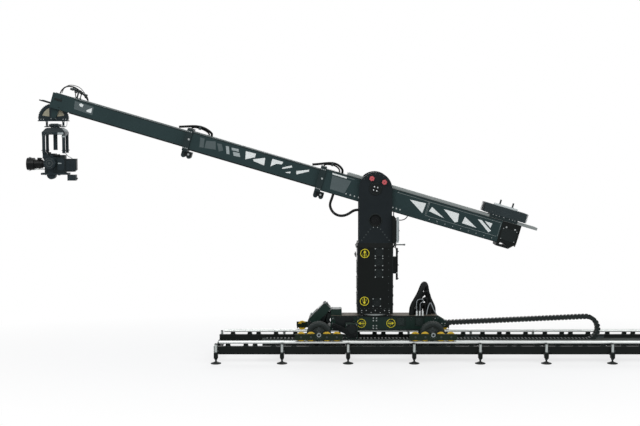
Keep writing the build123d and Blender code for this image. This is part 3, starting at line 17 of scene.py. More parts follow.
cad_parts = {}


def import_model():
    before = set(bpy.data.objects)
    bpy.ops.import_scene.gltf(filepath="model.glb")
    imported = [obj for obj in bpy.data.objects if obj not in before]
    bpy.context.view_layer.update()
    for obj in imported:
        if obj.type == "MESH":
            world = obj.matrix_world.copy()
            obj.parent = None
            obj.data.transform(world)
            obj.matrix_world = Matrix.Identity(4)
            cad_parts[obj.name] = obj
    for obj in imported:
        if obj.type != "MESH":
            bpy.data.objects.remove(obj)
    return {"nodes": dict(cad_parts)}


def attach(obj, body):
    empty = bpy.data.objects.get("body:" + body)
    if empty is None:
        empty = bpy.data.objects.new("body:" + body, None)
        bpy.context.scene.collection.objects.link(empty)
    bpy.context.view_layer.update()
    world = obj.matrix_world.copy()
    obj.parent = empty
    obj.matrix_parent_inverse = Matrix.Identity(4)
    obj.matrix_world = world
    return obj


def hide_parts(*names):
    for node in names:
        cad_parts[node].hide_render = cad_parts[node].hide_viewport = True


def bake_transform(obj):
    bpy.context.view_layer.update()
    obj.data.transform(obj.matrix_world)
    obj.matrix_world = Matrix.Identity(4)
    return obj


log = logging.getLogger("camera_crane")

Point = tuple[float, float, float]
Colour = tuple[float, float, float]
Marks = dict[str, tuple[tuple[tuple[float, float], ...], ...]]
MM = 0.001
# Angles between faces: bevelled from SHARP (round stock: RIM), shaded as one surface below SMOOTH
SHARP, RIM, SMOOTH = 0.6, 0.9, 0.62
KNOB_ANGLE = math.radians(36.5)
NEAR, FAR = Vector((0, -1, 0)), Vector((0, 1, 0))
FRONT, REAR = Vector((-1, 0, 0)), Vector((1, 0, 0))
UP = Vector((0, 0, 1))
UPRIGHT = Matrix(((1, 0, 0), (0, 0, -1), (0, 1, 0))).to_4x4()


def paint(red: int, green: int, blue: int) -> Colour:
    """Turn a screen colour into the linear colour that shaders take.

    Args:
        red: Red from 0 to 255.
        green: Green from 0 to 255.
        blue: Blue from 0 to 255.

    Returns:
        The linear colour.
    """
    shares = (red / 255, green / 255, blue / 255)
    return tuple(s / 12.92 if s <= 0.04045 else ((s + 0.055) / 1.055) ** 2.4 for s in shares)


def show(name: str, data: bpy.types.ID) -> bpy.types.Object:
    """Put a mesh, curve, lamp or camera into the scene.

    Args:
        name: The object's name.
        data: What it shows.

    Returns:
        The new object.
    """
    thing = bpy.data.objects.new(name, data)
    bpy.context.scene.collection.objects.link(thing)
    return thing


@dataclass(frozen=True)
class Layout:
    """Places that the whole crane shares, in millimetres."""

    slew_x: float = -147.462
    pivot_z: float = 2630
    tilt: float = math.radians(16.4)
    outer: tuple[float, float] = (300, 345)
    mid: tuple[float, float] = (255, 300)
    level_s: float = 5044
    level_h: float = -374
    head_offset: float = 22

    def arm(self, s: float, h: float, y: float = 0) -> Vector:
        """Give the crane-frame place of an arm point.

        Args:
            s: Distance from the pivot towards the nose.
            h: Height square to the arm, from the pivot.
            y: Sideways place, negative on the near side.

        Returns:
            The point in the crane's frame.
        """
        c, t = math.cos(self.tilt), math.sin(self.tilt)
        return Vector((self.slew_x - s * c + h * t, y, self.pivot_z + s * t + h * c))

    def arm_place(self, s: float, h: float, y: float = 0) -> Matrix:
        """Give the matrix whose X runs to the nose, Z square to the arm and Y to the near side.

        Args:
            s: Distance from the pivot towards the nose.
            h: Height square to the arm, from the pivot.
            y: Sideways place in the crane's frame.

        Returns:
            The placing matrix.
        """
        c, t = math.cos(self.tilt), math.sin(self.tilt)
        turn = Matrix(((-c, 0, t), (0, -1, 0), (t, 0, c))).to_4x4()
        return Matrix.Translation(self.arm(s, h, y)) @ turn

    def arm_side(self, y: float) -> Matrix:
        """Give the matrix whose X is arm distance, Y arm height and Z runs to the far side.

        Args:
            y: Sideways place in the crane's frame.

        Returns:
            The placing matrix.
        """
        c, t = math.cos(self.tilt), math.sin(self.tilt)
        turn = Matrix(((-c, t, 0), (0, 0, 1), (t, c, 0))).to_4x4()
        return Matrix.Translation((self.slew_x, y, self.pivot_z)) @ turn

    @property
    def along(self) -> Vector:
        """The way from the pivot to the nose."""
        return self.arm(1, 0) - self.arm(0, 0)

    @property
    def up(self) -> Vector:
        """The way square to the arm, from its underside to its top."""
        return self.arm(0, 1) - self.arm(0, 0)

    @property
    def level(self) -> Vector:
        """The levelling pivot's place."""
        return self.arm(self.level_s, self.level_h)

    @property
    def head_x(self) -> float:
        """The X of the head's pan axis."""
        return self.level.x + self.head_offset

    @property
    def tilt_axis(self) -> Vector:
        """The camera's tilt axis."""
        return Vector((self.head_x - 63, 0, self.level.z - 679))


LAYOUT = Layout()


class Side(Enum):
    """Which side of the crane a piece is on, as a factor on Y."""

    NEAR = -1
    FAR = 1


class Look(Enum):
    """The kind of surface a finish has."""

    PAINT = "paint"
    METAL = "metal"
    PLASTIC = "plastic"
    RUBBER = "rubber"
    GLASS = "glass"


@dataclass(frozen=True)
class Finish:
    """One surface finish and the values that its node groups take."""

    name: str
    colour: Colour
    look: Look
    roughness: float = 0.45
    grain_scale: float = 60.0
    grain_depth: float = 0.15
    mottle: float = 0.18
    wear: float = 0.25
    dust: float = 0.12
    edge: float = 0.003


# Name, screen colour, roughness, grain scale and depth, mottle and wear of each finish
SURFACES = {Look.METAL: (("rail_steel", (205, 209, 207), 0.3, 180, 0.1, 0.12, 0.1),
        ("jack_metal", (170, 176, 174), 0.42, 120, 0.2, 0.2, 0.2),
        ("tray_metal", (96, 101, 99), 0.45, 120, 0.15, 0.2, 0.15),
        ("axle_steel", (120, 124, 122), 0.35, 140, 0.1, 0.1, 0.1),
        ("ring_steel", (120, 125, 124), 0.35, 150, 0.1, 0.1, 0.1),
        # trim_and_highlight: light strip colour; on the arm's strips near the tubes' top edges it paints the
        # edge highlight
        ("trim_and_highlight", (120, 128, 128), 0.35, 160, 0.1, 0.1, 0.15),
        ("slab_steel", (176, 183, 184), 0.38, 150, 0.12, 0.15, 0.1),
        ("rail_dark", (124, 130, 129), 0.38, 150, 0.12, 0.15, 0.15),
        ("bolt_steel", (150, 155, 155), 0.3, 200, 0.05, 0.1, 0),
        ("bolt_dark", (58, 64, 65), 0.36, 200, 0.05, 0.1, 0)),
    Look.PAINT: (("track_paint", (12, 17, 15), 0.5, 90, 0.2, 0.2, 0.3),
        ("dolly_paint", (22, 39, 34), 0.42, 70, 0.18, 0.2, 0.3),
        ("deck_paint", (88, 78, 66), 0.6, 120, 0.4, 0.3, 0.2),
        ("bogie_paint", (22, 33, 22), 0.45, 80, 0.2, 0.2, 0.3),
        ("rim_paint", (44, 50, 48), 0.45, 80, 0.2, 0.2, 0.3),
        ("column_paint", (6, 11, 10), 0.4, 70, 0.15, 0.18, 0.3),
        ("cheek_paint", (18, 25, 28), 0.4, 70, 0.15, 0.18, 0.3),
        ("cover_paint", (20, 26, 26), 0.36, 90, 0.12, 0.15, 0.4),
        ("arm_metal", (32, 48, 49), 0.34, 60, 0.1, 0.15, 0.35),
        ("trim_dark", (13, 17, 18), 0.42, 60, 0.12, 0.12, 0.3),
        ("collar_metal", (29, 40, 41), 0.4, 80, 0.15, 0.15, 0.4),
        ("weight_iron", (38, 47, 49), 0.58, 110, 0.5, 0.25, 0.35),
        ("head_metal", (28, 38, 42), 0.36, 90, 0.12, 0.15, 0.4),
        ("window_tan", (140, 136, 118), 0.55, 120, 0.2, 0.2, 0.2),
        ("tail_shell", (7, 12, 11), 0.46, 90, 0.2, 0.12, 0.25)),
    Look.PLASTIC: (("foot_plastic", (18, 22, 21), 0.6, 200, 0.2, 0.1, 0.1),
        ("chain_plastic", (32, 38, 37), 0.52, 160, 0.25, 0.12, 0.15),
        ("track_wheel", (214, 176, 52), 0.42, 140, 0.15, 0.2, 0),
        ("knob_red", (178, 84, 88), 0.3, 150, 0.1, 0.1, 0),
        ("camera_shell", (22, 30, 32), 0.48, 260, 0.35, 0.1, 0.2),
        ("lens_black", (12, 15, 16), 0.28, 200, 0.1, 0.05, 0.25),
        ("mark_white", (206, 210, 208), 0.5, 120, 0.1, 0.1, 0),
        ("mark_grey", (142, 150, 150), 0.5, 120, 0.1, 0.1, 0),
        ("mark_dim", (74, 84, 85), 0.5, 120, 0.1, 0.2, 0),
        ("mark_yellow", (205, 192, 48), 0.45, 120, 0.1, 0.15, 0)),
    Look.RUBBER: (("road_tyre", (43, 49, 48), 0.72, 240, 0.4, 0.2, 0),
        ("cable_sleeve", (15, 18, 18), 0.55, 300, 0.3, 0.1, 0),
        ("cable_grey", (140, 146, 148), 0.5, 300, 0.2, 0.1, 0)),
    Look.GLASS: (("lens_glass", (16, 22, 34), 0.05, 100, 0, 0, 0),)}
DUST = {"road_tyre": 0.3, "track_wheel": 0.25, "cable_sleeve": 0.08, "cable_grey": 0.08, "lens_glass": 0,
    "mark_white": 0.05, "mark_grey": 0.05, "mark_dim": 0.05}
EDGES = {"bolt_steel": 0.001, "bolt_dark": 0.001}
FINISHES = {name: Finish(name, paint(*colour), look, *values, DUST.get(name, 0.12), EDGES.get(name, 0.003))
    for look, rows in SURFACES.items() for name, colour, *values in rows}


class NodeNet:
    """A node tree that takes nodes with their values and links in one call each."""

    def __init__(self, tree: bpy.types.NodeTree) -> None:
        """Take the tree to fill.

        Args:
            tree: The node tree.
        """
        self.tree, self.nodes = tree, tree.nodes

    def set(self, node: bpy.types.Node, values: dict[str | int, object]) -> bpy.types.Node:
        """Set or link a node's inputs.

        Args:
            node: The node.
            values: Input names or numbers, each with its value or the socket that feeds it.

        Returns:
            The node.
        """
        for key, value in values.items():
            if isinstance(value, bpy.types.NodeSocket):
                self.tree.links.new(value, node.inputs[key])
            else:
                node.inputs[key].default_value = value
        return node

    def add(self, kind: str, values: dict[str | int, object] | None = None,
        operation: str = "") -> bpy.types.Node:
        """Add a node.

        Args:
            kind: Its type without the word ShaderNode in front.
            values: Inputs to set or link.
            operation: What a math node does.

        Returns:
            The node.
        """
        node = self.nodes.new("ShaderNode" + kind)
        if operation:
            node.operation = operation
        return self.set(node, values or {})

    def math(self, operation: str, first: object, second: object) -> bpy.types.NodeSocket:
        """Add a math node.

        Args:
            operation: What it does.
            first: Its first value or socket.
            second: Its second value or socket.

        Returns:
            Its result.
        """
        return self.add("Math", {0: first, 1: second}, operation).outputs[0]


class GroupBuilder:
    """Makes the shader node groups that several finishes share, each once."""

    def __init__(self) -> None:
        """Build the grain, edge and dust groups."""
        self.grain = self._grain()
        self.edge = self._edge()
        self.dust = self._dust()

    @staticmethod
    def _start(name: str, inputs: dict[str, float], outputs: Iterable[str]) -> NodeNet:
        """Start a node group with its sockets.

        Args:
            name: The group's name.
            inputs: Input names with their default values.
            outputs: Output names.

        Returns:
            The new group with an input and an output node.
        """
        tree = bpy.data.node_groups.new(name, "ShaderNodeTree")
        for label, value in inputs.items():
            socket = tree.interface.new_socket(label, in_out="INPUT", socket_type="NodeSocketFloat")
            socket.default_value = value
        for label in outputs:
            kind = "NodeSocketVector" if label == "Normal" else "NodeSocketFloat"
            tree.interface.new_socket(label, in_out="OUTPUT", socket_type=kind)
        tree.nodes.new("NodeGroupInput").name = "in"
        tree.nodes.new("NodeGroupOutput").name = "out"
        return NodeNet(tree)

    def _grain(self) -> bpy.types.NodeTree:
        """Build the group for fine surface grain and a broad mottle.

        Returns:
            A group with Height and Mottle outputs.
        """
        net = self._start("surface_grain", {"Scale": 60.0, "Detail": 4.0}, ("Height", "Mottle"))
        given, place = net.nodes["in"].outputs, net.add("TexCoord").outputs["Object"]
        fine = net.add("TexNoise", {"Vector": place, "Scale": given["Scale"], "Detail": given["Detail"]})
        broad = net.add("TexNoise", {"Vector": place, "Scale": 3.1, "Detail": 5.0, "Roughness": 0.65})
        net.set(net.nodes["out"], {"Height": fine.outputs["Fac"], "Mottle": broad.outputs["Fac"]})
        return net.tree

    def _edge(self) -> bpy.types.NodeTree:
        """Build the group that finds edges and rounds their shading.

        Returns:
            A group with Mask and Normal outputs.
        """
        net = self._start("edge_wear", {"Radius": 0.003, "Amount": 0.3}, ("Mask", "Normal"))
        given, place = net.nodes["in"].outputs, net.add("TexCoord").outputs["Object"]
        bevel = net.add("Bevel", {"Radius": given["Radius"]})
        bevel.samples = 4
        smooth, flat = bevel.outputs["Normal"], net.add("NewGeometry").outputs["Normal"]
        dot = net.add("VectorMath", {0: smooth, 1: flat}, "DOT_PRODUCT").outputs["Value"]
        spread = net.math("MULTIPLY", net.math("SUBTRACT", 1.0, dot), 4.0)
        spread.node.use_clamp = True
        chips = net.add("TexNoise", {"Scale": 45.0, "Detail": 6.0, "Vector": place}).outputs["Fac"]
        ramp = net.add("MapRange", {"From Min": 0.46, "From Max": 0.62, "Value": chips})
        mask = net.math("MULTIPLY", spread, ramp.outputs["Result"])
        net.set(net.nodes["out"], {"Mask": net.math("MULTIPLY", mask, given["Amount"]), "Normal": smooth})
        return net.tree

    def _dust(self) -> bpy.types.NodeTree:
        """Build the group for dust that settles on surfaces that face up.

        Returns:
            A group with a Mask output.
        """
        net = self._start("settled_dust", {"Amount": 0.15, "Scale": 9.0}, ("Mask",))
        given, place = net.nodes["in"].outputs, net.add("TexCoord").outputs["Object"]
        split = net.add("SeparateXYZ", {"Vector": net.add("NewGeometry").outputs["Normal"]})
        rise = net.add("MapRange", {"From Min": 0.1, "Value": split.outputs["Z"]}).outputs["Result"]
        patch = net.add("TexNoise", {"Detail": 6.0, "Vector": place, "Scale": given["Scale"]})
        cover = net.math("MULTIPLY", rise, patch.outputs["Fac"])
        net.set(net.nodes["out"], {"Mask": net.math("MULTIPLY", cover, given["Amount"])})
        return net.tree


class Paintshop:
    """Turns finishes into materials, one each."""

    COATS = {Look.PAINT: (0.03, 0.25), Look.GLASS: (1.0, 0.03)}
    DULL = (Look.PAINT, Look.PLASTIC, Look.RUBBER)
    DUST_COLOUR = (0.36, 0.36, 0.34, 1)
    WORN_COLOUR = (0.16, 0.17, 0.17, 1)

    def __init__(self, nodes: dict[str, bpy.types.Object]) -> None:
        """Prepare the shared node groups.

        Args:
            nodes: The frame's CAD nodes.
        """
        self.nodes, self.groups = nodes, GroupBuilder()
        self.made: dict[str, bpy.types.Material] = {}

    def material(self, name: str) -> bpy.types.Material:
        """Give the material of a finish, making it the first time.

        Args:
            name: The finish's name.

        Returns:
            The material.
        """
        if name not in self.made:
            self.made[name] = self._mix(FINISHES[name])
        return self.made[name]

    def _mix(self, finish: Finish) -> bpy.types.Material:
        """Build one material: base colour with mottle, worn edges and dust, and a grained surface.

        Args:
            finish: The finish to build.

        Returns:
            The new material.
        """
        material = bpy.data.materials.new(finish.name)
        material.use_nodes = True
        net = NodeNet(material.node_tree)
        values = {"Metallic": 0.85 if finish.look is Look.METAL else 0.0}
        if finish.look in self.DULL:
            values["Specular IOR Level"] = 0.10
        if finish.look in self.COATS:
            values["Coat Weight"], values["Coat Roughness"] = self.COATS[finish.look]
        grain = self._place(net, self.groups.grain, {"Scale": finish.grain_scale, "Detail": 5.0})
        edge = self._place(net, self.groups.edge, {"Radius": finish.edge, "Amount": finish.wear})
        dust = self._place(net, self.groups.dust, {"Amount": finish.dust, "Scale": 7.0})
        dark = tuple(c * (1 - finish.mottle) for c in finish.colour)
        light = tuple(min(1.0, c * (1 + finish.mottle) + 0.002) for c in finish.colour)
        base = self._blend(net, grain["Mottle"], (*dark, 1), (*light, 1))
        worn = self._blend(net, edge["Mask"], base, self.WORN_COLOUR)
        values["Base Color"] = self._blend(net, dust["Mask"], worn, self.DUST_COLOUR)
        low, high = max(0.02, finish.roughness - 0.10), min(1.0, finish.roughness + 0.12)
        rough = net.add("MapRange", {"To Min": low, "To Max": high, "Value": grain["Mottle"]})
        values["Roughness"] = rough.outputs["Result"]
        bump = net.add("Bump", {"Strength": finish.grain_depth, "Distance": 0.0006, "Height": grain["Height"],
                "Normal": edge["Normal"]})
        values["Normal"] = bump.outputs["Normal"]
        net.set(net.nodes["Principled BSDF"], values)
        material.diffuse_color = (*finish.colour, 1)
        return material

    @staticmethod
    def _place(net: NodeNet, tree: bpy.types.NodeTree, values: dict[str, float]) -> bpy.types.NodeOutputs:
        """Put a node group in a material with its own values.

        Args:
            net: The material's nodes.
            tree: The group.
            values: Input names with the values to set.

        Returns:
            The group's outputs.
        """
        node = net.add("Group")
        node.node_tree = tree
        return net.set(node, values).outputs

    @staticmethod
    def _blend(net: NodeNet, mask: bpy.types.NodeSocket, under: bpy.types.NodeSocket | tuple[float, ...],
        over: tuple[float, ...]) -> bpy.types.NodeSocket:
        """Mix a colour over another by a mask.

        Args:
            net: The material's nodes.
            mask: The socket that says how much of the upper colour shows.
            under: The lower colour or the socket that gives it.
            over: The upper colour.

        Returns:
            The socket with the mixed colour.
        """
        mix = net.add("Mix")
        mix.data_type = "RGBA"
        return net.set(mix, {"Factor": mask, "A": under, "B": over}).outputs["Result"]


def spin_frame(centre: Sequence[float], axis: Sequence[float], place: Matrix | None) -> Matrix:
    """Give the frame whose Z runs along an axis.

    Args:
        centre: The frame's origin.
        axis: The way its Z points.
        place: The frame that both are given in, or None for the crane's.

    Returns:
        The placing matrix.
    """
    turn = UP.rotation_difference(Vector(axis).normalized()).to_matrix().to_4x4()
    frame = Matrix.Translation(Vector(centre)) @ turn
    return frame if place is None else place @ frame


def on_ring(angle: float, radius: float = 1.0) -> Vector:
    """Give a point on an upright ring that faces the near side.

    Args:
        angle: Its angle from +X, rising.
        radius: The ring's radius.

    Returns:
        The point from the ring's centre.
    """
    return Vector((math.cos(angle), 0, math.sin(angle))) * radius


class Stock:
    """A mesh that grows from bevelled blocks, rounds, plates and turnings."""

    shop: "Paintshop"
    shift: float = 0

    def __init__(self) -> None:
        """Start an empty mesh."""
        self.mesh = bmesh.new()

    def join(self, part: bmesh.types.BMesh, place: Matrix | None = None) -> "Stock":
        """Move a finished part into place and add it.

        Args:
            part: The part, which is used up.
            place: Where it goes, or None where it stands already.

        Returns:
            This stock, for chaining.
        """
        if place is not None:
            bmesh.ops.transform(part, matrix=place, verts=part.verts)
        held = bpy.data.meshes.new("held")
        part.to_mesh(held)
        part.free()
        self.mesh.from_mesh(held)
        bpy.data.meshes.remove(held)
        return self

    @staticmethod
    def _soften(part: bmesh.types.BMesh, bevel: float, limit: float = SHARP) -> None:
        """Bevel a part's sharp edges.

        Args:
            part: The part.
            bevel: Bevel width; 0 leaves the edges sharp.
            limit: The angle from which an edge is sharp.
        """
        if bevel <= 0:
            return
        sharp = [e for e in part.edges if e.is_manifold and e.calc_face_angle() > limit]
        bmesh.ops.bevel(part, geom=sharp, offset=bevel, offset_type="OFFSET", segments=1, profile=0.5,
            affect="EDGES", material=-1, clamp_overlap=True)

    def block(self, size: Sequence[float], centre: Sequence[float] = (0, 0, 0), place: Matrix | None = None,
        bevel: float = 2) -> "Stock":
        """Add a bevelled block.

        Args:
            size: Length along X, Y and Z.
            centre: Its middle, in the place's frame.
            place: The frame it stands in, or None for the crane's.
            bevel: Bevel width.

        Returns:
            This stock.
        """
        part = bmesh.new()
        bmesh.ops.create_cube(part, size=1.0)
        bmesh.ops.scale(part, vec=size, verts=part.verts)
        self._soften(part, bevel)
        bmesh.ops.translate(part, vec=centre, verts=part.verts)
        return self.join(part, place)

    def round(self, radius: float, depth: float, centre: Sequence[float] = (0, 0, 0),
        axis: Sequence[float] = UP, place: Matrix | None = None, sides: int = 24,
        bevel: float = 1.5) -> "Stock":
        """Add a cylinder.

        Args:
            radius: Its radius.
            depth: Length along the axis.
            centre: Its middle, in the place's frame.
            axis: Direction of its axis.
            place: The frame it stands in.
            sides: Number of sides.
            bevel: Bevel on the end rims.

        Returns:
            This stock.
        """
        part = bmesh.new()
        bmesh.ops.create_cone(part, cap_ends=True, segments=sides, radius1=radius, radius2=radius,
            depth=depth)
        if sides > 8:
            self._soften(part, bevel, RIM)
        return self.join(part, spin_frame(centre, axis, place))

    def turned(self, profile: Sequence[tuple[float, float]], centre: Sequence[float] = (0, 0, 0),
        axis: Sequence[float] = UP, place: Matrix | None = None, steps: int = 32) -> "Stock":
        """Add a turning: a closed or axis-to-axis profile spun round its axis.

        Args:
            profile: Points of radius and height along the axis.
            centre: The profile's origin.
            axis: The spin axis.
            place: The frame it stands in.
            steps: Steps in a full turn.

        Returns:
            This stock.
        """
        part = bmesh.new()
        verts = [part.verts.new((r, 0.0, z)) for r, z in profile]
        closed = profile[0][0] > 0 or profile[-1][0] > 0
        pairs = list(zip(verts, verts[1:])) + ([(verts[-1], verts[0])] if closed else [])
        edges = [part.edges.new(pair) for pair in pairs]
        bmesh.ops.spin(part, geom=verts + edges, cent=(0, 0, 0), axis=(0, 0, 1), angle=math.tau, steps=steps,
            use_merge=True)
        bmesh.ops.remove_doubles(part, verts=part.verts, dist=1e-3)
        bmesh.ops.recalc_face_normals(part, faces=part.faces)
        return self.join(part, spin_frame(centre, axis, place))

    def plate(self, outline: Sequence[tuple[float, float]], thickness: float, place: Matrix | None = None,
        bevel: float = 1) -> "Stock":
        """Add a flat plate from its outline in the place's XY plane, thick along +Z.

        Args:
            outline: Corner points in order.
            thickness: Thickness along Z.
            place: The frame it stands in.
            bevel: Bevel on its edges.

        Returns:
            This stock.
        """
        part = bmesh.new()
        face = part.faces.new([part.verts.new((x, y, 0.0)) for x, y in outline])
        grown = bmesh.ops.extrude_face_region(part, geom=[face])
        moved = [g for g in grown["geom"] if isinstance(g, bmesh.types.BMVert)]
        bmesh.ops.translate(part, vec=(0, 0, thickness), verts=moved)
        bmesh.ops.recalc_face_normals(part, faces=part.faces)
        self._soften(part, bevel)
        return self.join(part, place)

    def bolt(self, centre: Sequence[float], axis: Sequence[float], radius: float = 8, height: float = 6,
        place: Matrix | None = None) -> "Stock":
        """Add a hex head on a washer, standing on its centre point along the axis.

        Args:
            centre: The point on the surface.
            axis: The way the head points.
            radius: Head radius.
            height: Head height.
            place: The frame it stands in.

        Returns:
            This stock.
        """
        out, foot = Vector(axis).normalized(), Vector(centre)
        self.round(radius * 1.35, height * 0.3, foot + out * height * 0.14, out, place, 12, 0)
        return self.round(radius, height, foot + out * height * 0.6, out, place, 6, 0)

    def both_sides(self) -> "Stock":
        """Mirror everything across the crane's middle plane and keep both halves."""
        part = self.mesh.copy()
        bmesh.ops.scale(part, vec=(1, -1, 1), verts=part.verts)
        bmesh.ops.reverse_faces(part, faces=part.faces)
        return self.join(part)

    def make(self, name: str, body: str, finish: str, slot: str, replaces: Sequence[str] = (
        )) -> bpy.types.Object:
        """Turn the stock into a piece of the crane, in metres.

        Args:
            name: The piece's name.
            body: The CAD body that it rides on.
            finish: The finish's name.
            slot: The name of its material slot; not used.
            replaces: CAD nodes that it stands for.

        Returns:
            The new object.
        """
        bmesh.ops.translate(self.mesh, vec=REAR * self.shift, verts=self.mesh.verts)
        bmesh.ops.scale(self.mesh, vec=(MM, MM, MM), verts=self.mesh.verts)
        for edge in self.mesh.edges:
            edge.smooth = edge.is_manifold and edge.calc_face_angle() < SMOOTH
        for face in self.mesh.faces:
            face.smooth = True
        data = bpy.data.meshes.new(name)
        self.mesh.to_mesh(data)
        self.mesh.free()
        piece = show(name, data)
        data.materials.append(Stock.shop.material(finish))
        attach(piece, body)
        if replaces:
            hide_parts(*replaces)
        log.info("%s: %d faces on %s", name, len(data.polygons), body)
        return piece


class AxisStock(Stock):
    """Stock whose places are measured from the slew axis."""

    shift = LAYOUT.slew_x


@dataclass(frozen=True)
class CordPlan:
    """What one cable is: its route, its thickness and where it belongs."""

    name: str
    body: str
    route: tuple[Point, ...]
    diameter: float
    finish: str = "cable_sleeve"
    replaces: tuple[str, ...] = ()
    far_body: str = ""

    @property
    def metres(self) -> list[Vector]:
        """The route in metres."""
        return [Vector(point) * MM for point in self.route]


class CordMaker:
    def lay(self, plan: CordPlan) -> bpy.types.Object:
        """Make one cable.

        Args:
            plan: The cable's plan.

        Returns:
            The cable's object: a curve, or an unparented mesh tube where it runs between two bodies.
        """
        route, diameter = plan.metres, plan.diameter * MM
        piece = self._curve(plan, diameter / 2)
        line = self._line(plan)
        if plan.far_body:
            piece = self._as_mesh(piece, plan.name)
            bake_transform(piece)
        else:
            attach(piece, plan.body)
        if plan.replaces:
            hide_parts(*plan.replaces)
        return piece

    @staticmethod
    def _curve(plan: CordPlan, bevel: float) -> bpy.types.Object:
        """Make the cable's curve.

        Args:
            plan: The cable's plan.
            bevel: Its radius, or 0 for the bare line.

        Returns:
            The curve object.
        """
        data = bpy.data.curves.new(plan.name, "CURVE")
        data.dimensions = "3D"
        data.resolution_u = 6
        data.bevel_depth = bevel
        data.bevel_resolution = 3
        data.use_fill_caps = bevel > 0
        spline = data.splines.new("NURBS")
        spline.points.add(len(plan.route) - 1)
        for point, place in zip(spline.points, plan.metres):
            point.co = (*place, 1.0)
        spline.order_u = 3
        spline.use_endpoint_u = True
        piece = show(plan.name, data)
        data.materials.append(Stock.shop.material(plan.finish))
        return piece

    def _line(self, plan: CordPlan) -> list[Point]:
        """Read the points along the cable's own smooth line.

        Args:
            plan: The cable's plan.

        Returns:
            The points in order.
        """
        bare = self._curve(plan, 0.0)
        bpy.context.view_layer.update()
        mesh = bpy.data.meshes.new_from_object(bare.evaluated_get(bpy.context.evaluated_depsgraph_get()))
        points = [tuple(v.co) for v in mesh.vertices]
        bpy.data.objects.remove(bare)
        bpy.data.meshes.remove(mesh)
        return points

    @staticmethod
    def _as_mesh(piece: bpy.types.Object, name: str) -> bpy.types.Object:
        """Swap a curve object for a mesh tube of the same shape.

        Args:
            piece: The curve object, which is removed.
            name: The mesh piece's name.

        Returns:
            The mesh object.
        """
        bpy.context.view_layer.update()
        mesh = bpy.data.meshes.new_from_object(piece.evaluated_get(bpy.context.evaluated_depsgraph_get()))
        materials = list(piece.data.materials)
        bpy.data.objects.remove(piece)
        mesh.name = name
        tube = show(name, mesh)
        if not mesh.materials:
            mesh.materials.append(materials[0])
        for face in mesh.polygons:
            face.use_smooth = True
        return tube


@dataclass(frozen=True)
class Studio:
    """The pale studio: floor, world, lamps and the camera."""

    camera_back: float = 17.8
    camera_x: float = -0.996
    camera_z: float = 3.60
    pitch: float = 4.36
    lens: float = 64.9

    def build(self) -> None:
        """Make everything that isn't the crane."""
        self._camera()
        self._world()
        self._floor()
        self._lamp("key_lamp", (-5.5, -9.0, 9.5), (-1.0, 0.0, 1.6), 7.0, 700.0)
        self._lamp("fill_lamp", (8.0, -8.0, 6.5), (1.0, 0.0, 1.2), 7.0, 380.0)
        self._lamp("back_lamp", (0.5, 9.0, 8.0), (0.0, 0.0, 1.5), 6.0, 380.0)

    def _camera(self) -> None:
        """Place the camera as the photograph's stood."""
        data = bpy.data.cameras.new("camera")
        data.lens = self.lens
        data.sensor_width = 36.0
        data.clip_end = 200.0
        camera = show("camera", data)
        camera.location = (self.camera_x, -self.camera_back, self.camera_z)
        camera.rotation_euler = (math.radians(90 - self.pitch), 0.0, 0.0)
        bpy.context.scene.camera = camera

    def _world(self) -> None:
        """Light from all round, and white where the camera or a gloss sees past the crane."""
        world = bpy.data.worlds.new("studio")
        bpy.context.scene.world = world
        world.use_nodes = True
        net = NodeNet(world.node_tree)
        soft = net.set(net.nodes["Background"], {"Color": (0.92, 0.95, 1.0, 1), "Strength": 0.50})
        white = net.add("Background", {"Color": (1, 1, 1, 1), "Strength": 1.0})
        mix = net.add("MixShader", {"Fac": self._seen(net), 1: soft.outputs[0], 2: white.outputs[0]})
        net.set(net.nodes["World Output"], {"Surface": mix.outputs[0]})

    @staticmethod
    def _seen(net: NodeNet) -> bpy.types.NodeSocket:
        """Find the rays that show the background: straight, mirrored or through glass.

        Args:
            net: The nodes of the material or world.

        Returns:
            A socket that is 1 for such a ray.
        """
        rays = net.add("LightPath").outputs
        mirrored = net.math("MAXIMUM", rays["Is Camera Ray"], rays["Is Glossy Ray"])
        return net.math("MAXIMUM", mirrored, rays["Is Transmission Ray"])

    def _floor(self) -> None:
        """Lay a wide pale floor that keeps the crane's shadow."""
        part = bmesh.new()
        bmesh.ops.create_grid(part, x_segments=1, y_segments=1, size=60.0)
        data = bpy.data.meshes.new("studio_floor")
        part.to_mesh(data)
        part.free()
        floor = show("studio_floor", data)
        floor.location = (0, 0, -0.001)
        material = bpy.data.materials.new("pale_floor")
        material.use_nodes = True
        net = NodeNet(material.node_tree)
        matte = net.set(net.nodes["Principled BSDF"], {"Base Color": (0.86, 0.86, 0.86, 1), "Roughness": 0.9,
                "Specular IOR Level": 0.1})
        glow = net.add("Emission", {"Strength": 1.0})
        where = net.add("TexCoord").outputs["Object"]
        squeeze = net.add("VectorMath", {0: where, 1: (0.45, 1.0, 1.0)}, "MULTIPLY").outputs[0]
        far = net.add("VectorMath", {0: squeeze}, "LENGTH").outputs["Value"]
        fade = net.add("MapRange", {"From Min": 1.6, "From Max": 4.2, "To Min": 0.70, "To Max": 1.0,
                "Value": far})
        share = net.math("MULTIPLY", fade.outputs[0], self._seen(net))
        mix = net.add("MixShader", {"Fac": share, 1: matte.outputs[0], 2: glow.outputs[0]})
        net.set(net.nodes["Material Output"], {"Surface": mix.outputs[0]})
        data.materials.append(material)

    @staticmethod
    def _lamp(name: str, place: Point, aim: Point, size: float, power: float) -> None:
        """Hang one soft area lamp.

        Args:
            name: The lamp's name.
            place: Where it hangs.
            aim: The point it faces.
            size: Its side length.
            power: Its power in watts.
        """
        data = bpy.data.lights.new(name, "AREA")
        data.shape = "SQUARE"
        data.size = size
        data.energy = power
        lamp = show(name, data)
        lamp.location = place
        lamp.rotation_euler = (Vector(aim) - Vector(place)).to_track_quat("-Z", "Y").to_euler()


